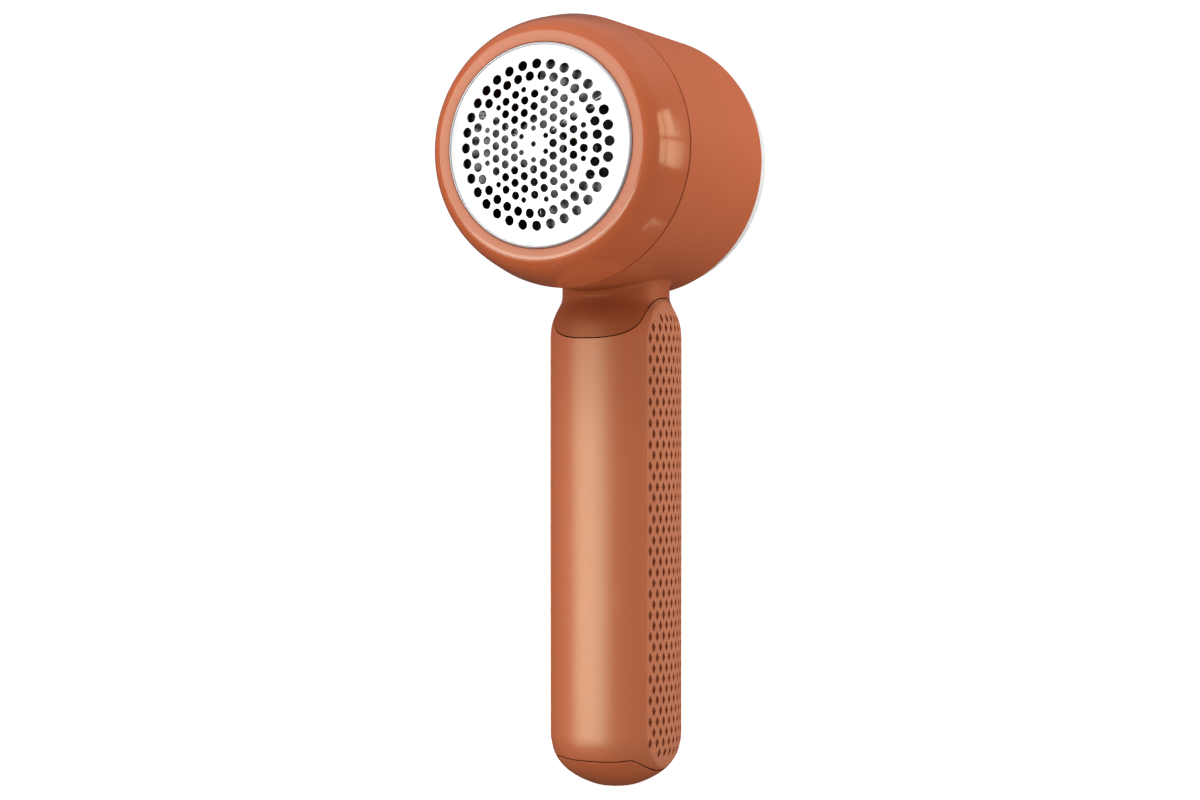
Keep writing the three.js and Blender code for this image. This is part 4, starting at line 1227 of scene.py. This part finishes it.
for i, degrees in enumerate(POD_SCREW_ANGLES):
    a = math.radians(degrees)
    at = (POD_SCREW_R * math.sin(a), -21.5, HEAD_Z + POD_SCREW_R * math.cos(a))
    place_screw(f"pod_screw_{i + 1}", POD_SCREW, at)
for label, side in SIDES:
    at = (side * MOTOR_SCREW_X, -29.0, HEAD_Z)
    place_screw(f"motor_screw_{label}", MOTOR_SCREW, at, 180)
for node, z in (("neck_screw", NECK_SCREW_Z), ("cap_screw", CAP_SCREW_Z)):
    for label, side in SIDES:
        place_screw(f"{node}_{label}", HANDLE_SCREW, (side * 15.75, 0, z), -90 * side, "Z")
for i, z in enumerate(BOARD_SCREW_Z):
    place_screw(f"board_screw_{i + 1}", BOARD_SCREW, (0, 6.75, z), 180)

# ---------------------------------------------------------------- motor pod, motor and battery


def motor_screw_holes(radius, segs):
    places = [(side * MOTOR_SCREW_X, 0, HEAD_Z) for _, side in SIDES]
    return [rod(radius, -30, -20, at=at, segs=segs) for at in places]


def build_pod():
    pod = revolve(
        rounded([(0, -27.6), (14.1, -27.6, 0.6), (14.1, 9.0, 0.2), (0, 9.0)], 4), 160)
    flange = revolve(rounded([
        (27.9, -25.7, 0.2), (31.0, -25.7, 0.2), (31.0, -23.0, 0.2), (27.9, -23.0, 0.2)], 3), 192)
    struts = []
    for a in (0, 120, 240):
        strut = block(-1.3, 1.3, -25.7, -20.0, HEAD_Z + 13.5, HEAD_Z + 29.0)
        struts.append(turn(bevel(strut, 0.2), a))
    # a stepped duct runs down to the barrel's wall
    duct = join(
        block(-4, 4, -7, 3, HEAD_Z - 31.6, HEAD_Z - 13.3),
        block(-4, 4, -7, 9, HEAD_Z - 27.5, HEAD_Z - 13.3))
    clip(duct, rod(31.0, -60, 60, segs=192))
    join(flange, *struts)
    join(pod, duct)
    join(pod, flange)
    tools = [
        rod(12.6, -26.0, 10, segs=144),
        rod(3.3, -30, -20, segs=48),
        block(-2.8, 2.8, -5.8, 1.8, HEAD_Z - 40, HEAD_Z - 11.4),
        block(-2.8, 2.8, -5.8, 7.8, HEAD_Z - 26.3, HEAD_Z - 11.4),
    ]
    tools += pod_screw_holes(1.1, -30, -20)
    tools += motor_screw_holes(1.15, 24)
    return cut(pod, *tools)


def build_can():
    can = revolve(rounded([
        (3.1, -25.7, 0.2), (11.2, -25.7, 0.6), (12.0, -24.9, 0.5), (12.0, 1.5, 0.1),
        (11.1, 1.5, 0.1), (11.1, -24.8, 0.2), (3.1, -24.8, 0.1)], 4), 128)
    return cut(can, *motor_screw_holes(1.05, 20))


def build_magnet(side):
    magnet = revolve(rounded([
        (9.2, -19.5, 0.2), (10.8, -19.5, 0.2), (10.8, -5.5, 0.2), (9.2, -5.5, 0.2)], 3), 128)
    x0, x1 = sorted((4.0 * side, 12 * side))
    return clip(magnet, block(x0, x1, -30, 10, HEAD_Z - 12, HEAD_Z + 12))


finish(build_pod(), "motor_pod", "dark_plastic", sharp=30)
turned("pod_cover", [
    (0, 10.6), (13.2, 10.6, 0.4), (14.1, 9.9, 0.2), (14.1, 9.3, 0.1), (12.2, 9.3),
    (12.2, 7.9, 0.15), (11.0, 7.9, 0.15), (11.0, 9.3), (0, 9.3)], 4, 144)
finish(build_can(), "motor_can")
turned("front_bearing", [
    (1.25, -25.6, 0.1), (2.8, -25.6, 0.15), (2.8, -23.2, 0.15), (1.25, -23.2, 0.1)], 3, 64)
turned("rear_bearing", [
    (1.25, 1.9, 0.1), (2.6, 1.9, 0.15), (2.6, 4.1, 0.15), (1.25, 4.1, 0.1)], 3, 64)
turned("motor_end_bell", [
    (2.9, 1.8), (11.8, 1.8, 0.2), (11.8, 3.6, 0.4), (4.4, 4.4, 0.3), (2.9, 4.4, 0.1)], 4, 96)
for label, side in SIDES:
    finish(build_magnet(side), f"magnet_{label}")
turned("battery_cell", [
    (0, 26.0), (8.2, 26.0, 0.3), (9.1, 26.6, 0.5), (9.1, 90.2, 0.4), (8.3, 90.7, 0.3),
    (3.2, 90.6, 0.2), (3.0, 91.0, 0.2), (0, 91.0)], 5, 128, axis="Z", at=(0, -3.2, 0))

# CAD pieces that still show get a material and a fine edge.
for name, ob in frame["nodes"].items():
    if ob.hide_render:
        continue
    dress(ob.data, SLOT_OF[name], 30)
    edge = ob.modifiers.new("edge", "BEVEL")
    edge.width = 0.00008
    edge.segments = 2
    edge.limit_method = "ANGLE"
    edge.angle_limit = math.radians(40)

# ---------------------------------------------------------------- floor and world (metres)

TO_CAMERA = Vector((0.442996, -0.896523, 0))
RIGHT = Vector((-TO_CAMERA.y, TO_CAMERA.x, 0))


def plain_material(name, build):
    new_material = bpy.data.materials.new(name)
    graph = Graph(new_material)
    output = graph.add("OutputMaterial")
    graph.link(build(graph), output.inputs[0])
    return new_material


def floor_shader(graph):
    """White, and lit up a little more for the camera alone."""
    diffuse = graph.add("BsdfDiffuse", {0: (0.9, 0.9, 0.9, 1)})
    glow = graph.add("Emission", {0: (1, 1, 1, 1)})
    path = graph.add("LightPath")
    strength = graph.math("MULTIPLY", path.outputs["Is Camera Ray"], 0.87)
    graph.link(strength.outputs[0], glow.inputs[1])
    both = graph.add("AddShader", {0: diffuse.outputs[0], 1: glow.outputs[0]})
    # From below, the floor isn't there.
    back = graph.add("NewGeometry").outputs["Backfacing"]
    clear = graph.add("BsdfTransparent")
    return graph.add("MixShader", {0: back, 1: both.outputs[0], 2: clear.outputs[0]}).outputs[0]


bpy.ops.mesh.primitive_plane_add(size=12, location=(0, 0, -0.00005))
floor = bpy.context.object
floor.name = "floor"
floor.data.materials.append(plain_material("floor", floor_shader))
floor.visible_glossy = False
floor.visible_diffuse = False
floor.visible_shadow = False

# Brightness by height: -1 is straight down, 1 straight up.
FILL_SKY = [(-1, 0.2), (-0.75, 0.2), (-0.4, 1.0), (0.0, 0.655), (0.5, 0.29), (0.8, 0.02), (1, 0.02)]
SHINE_SKY = [(-1, 0.02), (-0.2, 0.04), (0.15, 0.12), (0.5, 0.13), (0.8, 0.45), (1, 0.45)]


def build_world():
    world = bpy.data.worlds.new("world")
    scene.world = world
    graph = Graph(world)
    world.cycles.sampling_method = "NONE"
    output = graph.add("OutputWorld")
    coord = graph.add("TexCoord")
    parts = graph.add("SeparateXYZ", {0: coord.outputs["Generated"]})
    height = graph.remap(parts.outputs[2], 0, 1, -1, 1)

    def sky(stops):
        level = graph.ramp(height, [((h + 1) / 2, v) for h, v in stops])
        return graph.add("Background", {0: level, 1: 1.0}).outputs[0]

    fill = sky(FILL_SKY)
    shine = sky(SHINE_SKY)
    white = graph.add("Background", {0: (1, 1, 1, 1), 1: 1.1}).outputs[0]
    path = graph.add("LightPath")
    lit = graph.add("MixShader", {0: path.outputs["Is Glossy Ray"], 1: fill, 2: shine})
    seen = graph.add(
        "MixShader", {0: path.outputs["Is Camera Ray"], 1: lit.outputs[0], 2: white})
    graph.link(seen.outputs[0], output.inputs[0])


build_world()

# ---------------------------------------------------------------- lights and camera


def direction(azimuth, elevation):
    """Degrees to the right of the camera's direction, and above the level."""
    a, e = math.radians(azimuth), math.radians(elevation)
    d = TO_CAMERA * math.cos(a) + RIGHT * math.sin(a)
    return d * math.cos(e) + Vector((0, 0, math.sin(e)))


def aim(ob, location, toward):
    ob.location = location
    ob.rotation_euler = toward.to_track_quat("-Z", "Y").to_euler()


def softbox(name, azimuth, elevation, distance, size, radiance, target=(0, 0, 0.1), shine=False):
    """A rectangular light of (width, height) size. It is seen only in reflections where shine
    is set, and otherwise lights without being reflected."""
    width, height = size
    light = bpy.data.lights.new(name, "AREA")
    light.shape = "RECTANGLE"
    light.size, light.size_y = width, height
    light.energy = radiance * math.pi * width * height
    ob = bpy.data.objects.new(name, light)
    scene.collection.objects.link(ob)
    target = Vector(target)
    ob.location = target + direction(azimuth, elevation) * distance
    aim(ob, ob.location, target - ob.location)
    ob.visible_camera = False
    ob.visible_diffuse = not shine
    ob.visible_glossy = shine


softbox("key_shine", azimuth=-51, elevation=0, distance=0.95, size=(1.06, 1.15), radiance=2.35,
        target=(0, 0, 0.275), shine=True)
softbox("kick", azimuth=-40, elevation=0, distance=0.95, size=(1.1, 0.16), radiance=3.0,
        target=(0, 0, -0.065), shine=True)
softbox("key", azimuth=-42, elevation=8, distance=1.1, size=(1.05, 0.8), radiance=2.05)
softbox("key_side", azimuth=-92, elevation=12, distance=1.1, size=(0.8, 0.8), radiance=0.65)
softbox("overhead", azimuth=-30, elevation=65, distance=1.1, size=(0.8, 0.8), radiance=3.0,
        target=(0, 0, 0.14))
softbox("right", azimuth=105, elevation=30, distance=0.30, size=(0.25, 0.25), radiance=3.4,
        target=(0, 0, 0.17))
softbox("right_low", azimuth=100, elevation=-35, distance=0.5, size=(0.4, 0.4), radiance=1.4,
        target=(0, 0, 0.14))


def window(name, target, toward, half_width, half_height, bar, radiance):
    """Four bright panes parted by bars, one metre from the target, seen only by reflection."""
    verts, faces = [], []
    for sx in (-1, 1):
        for sz in (-1, 1):
            x0, x1 = sorted((sx * bar / 2, sx * half_width))
            y0, y1 = sorted((sz * bar / 2, sz * half_height))
            start = len(verts)
            verts += [(x0, y0, 0), (x1, y0, 0), (x1, y1, 0), (x0, y1, 0)]
            faces.append(tuple(range(start, start + 4)))
    mesh = bpy.data.meshes.new(name)
    mesh.from_pydata(verts, [], faces)
    ob = bpy.data.objects.new(name, mesh)
    scene.collection.objects.link(ob)

    def glow(graph):
        return graph.add("Emission", {0: (1.0, 0.76, 0.54, 1), 1: radiance}).outputs[0]

    mesh.materials.append(plain_material(name, glow))
    target = Vector(target)
    ob.location = target + Vector(toward).normalized()
    aim(ob, ob.location, target - ob.location)
    ob.visible_camera = False
    ob.visible_diffuse = False
    ob.visible_shadow = False


window("window", target=(0.032, -0.031, 0.160), toward=(0.90, 0.43, 0.14),
       half_width=0.26, half_height=0.29, bar=0.035, radiance=3.3)
window("window_low", target=(0.025, -0.031, 0.135), toward=(0.50, 0.62, -0.62),
       half_width=0.03, half_height=0.07, bar=0.012, radiance=2.4)

camera_data = bpy.data.cameras.new("camera")
camera_data.lens = 70.22
camera_data.sensor_width = 36.0
camera_data.clip_start = 0.01
camera = bpy.data.objects.new("camera", camera_data)
scene.collection.objects.link(camera)
aim(camera, Vector((0.25770, -0.53062, 0.09652)), -TO_CAMERA)
scene.camera = camera
scene.view_settings.view_transform = "Standard"
scene.view_settings.look = "None"
scene.view_settings.exposure = 0.0
scene.view_settings.gamma = 1.0
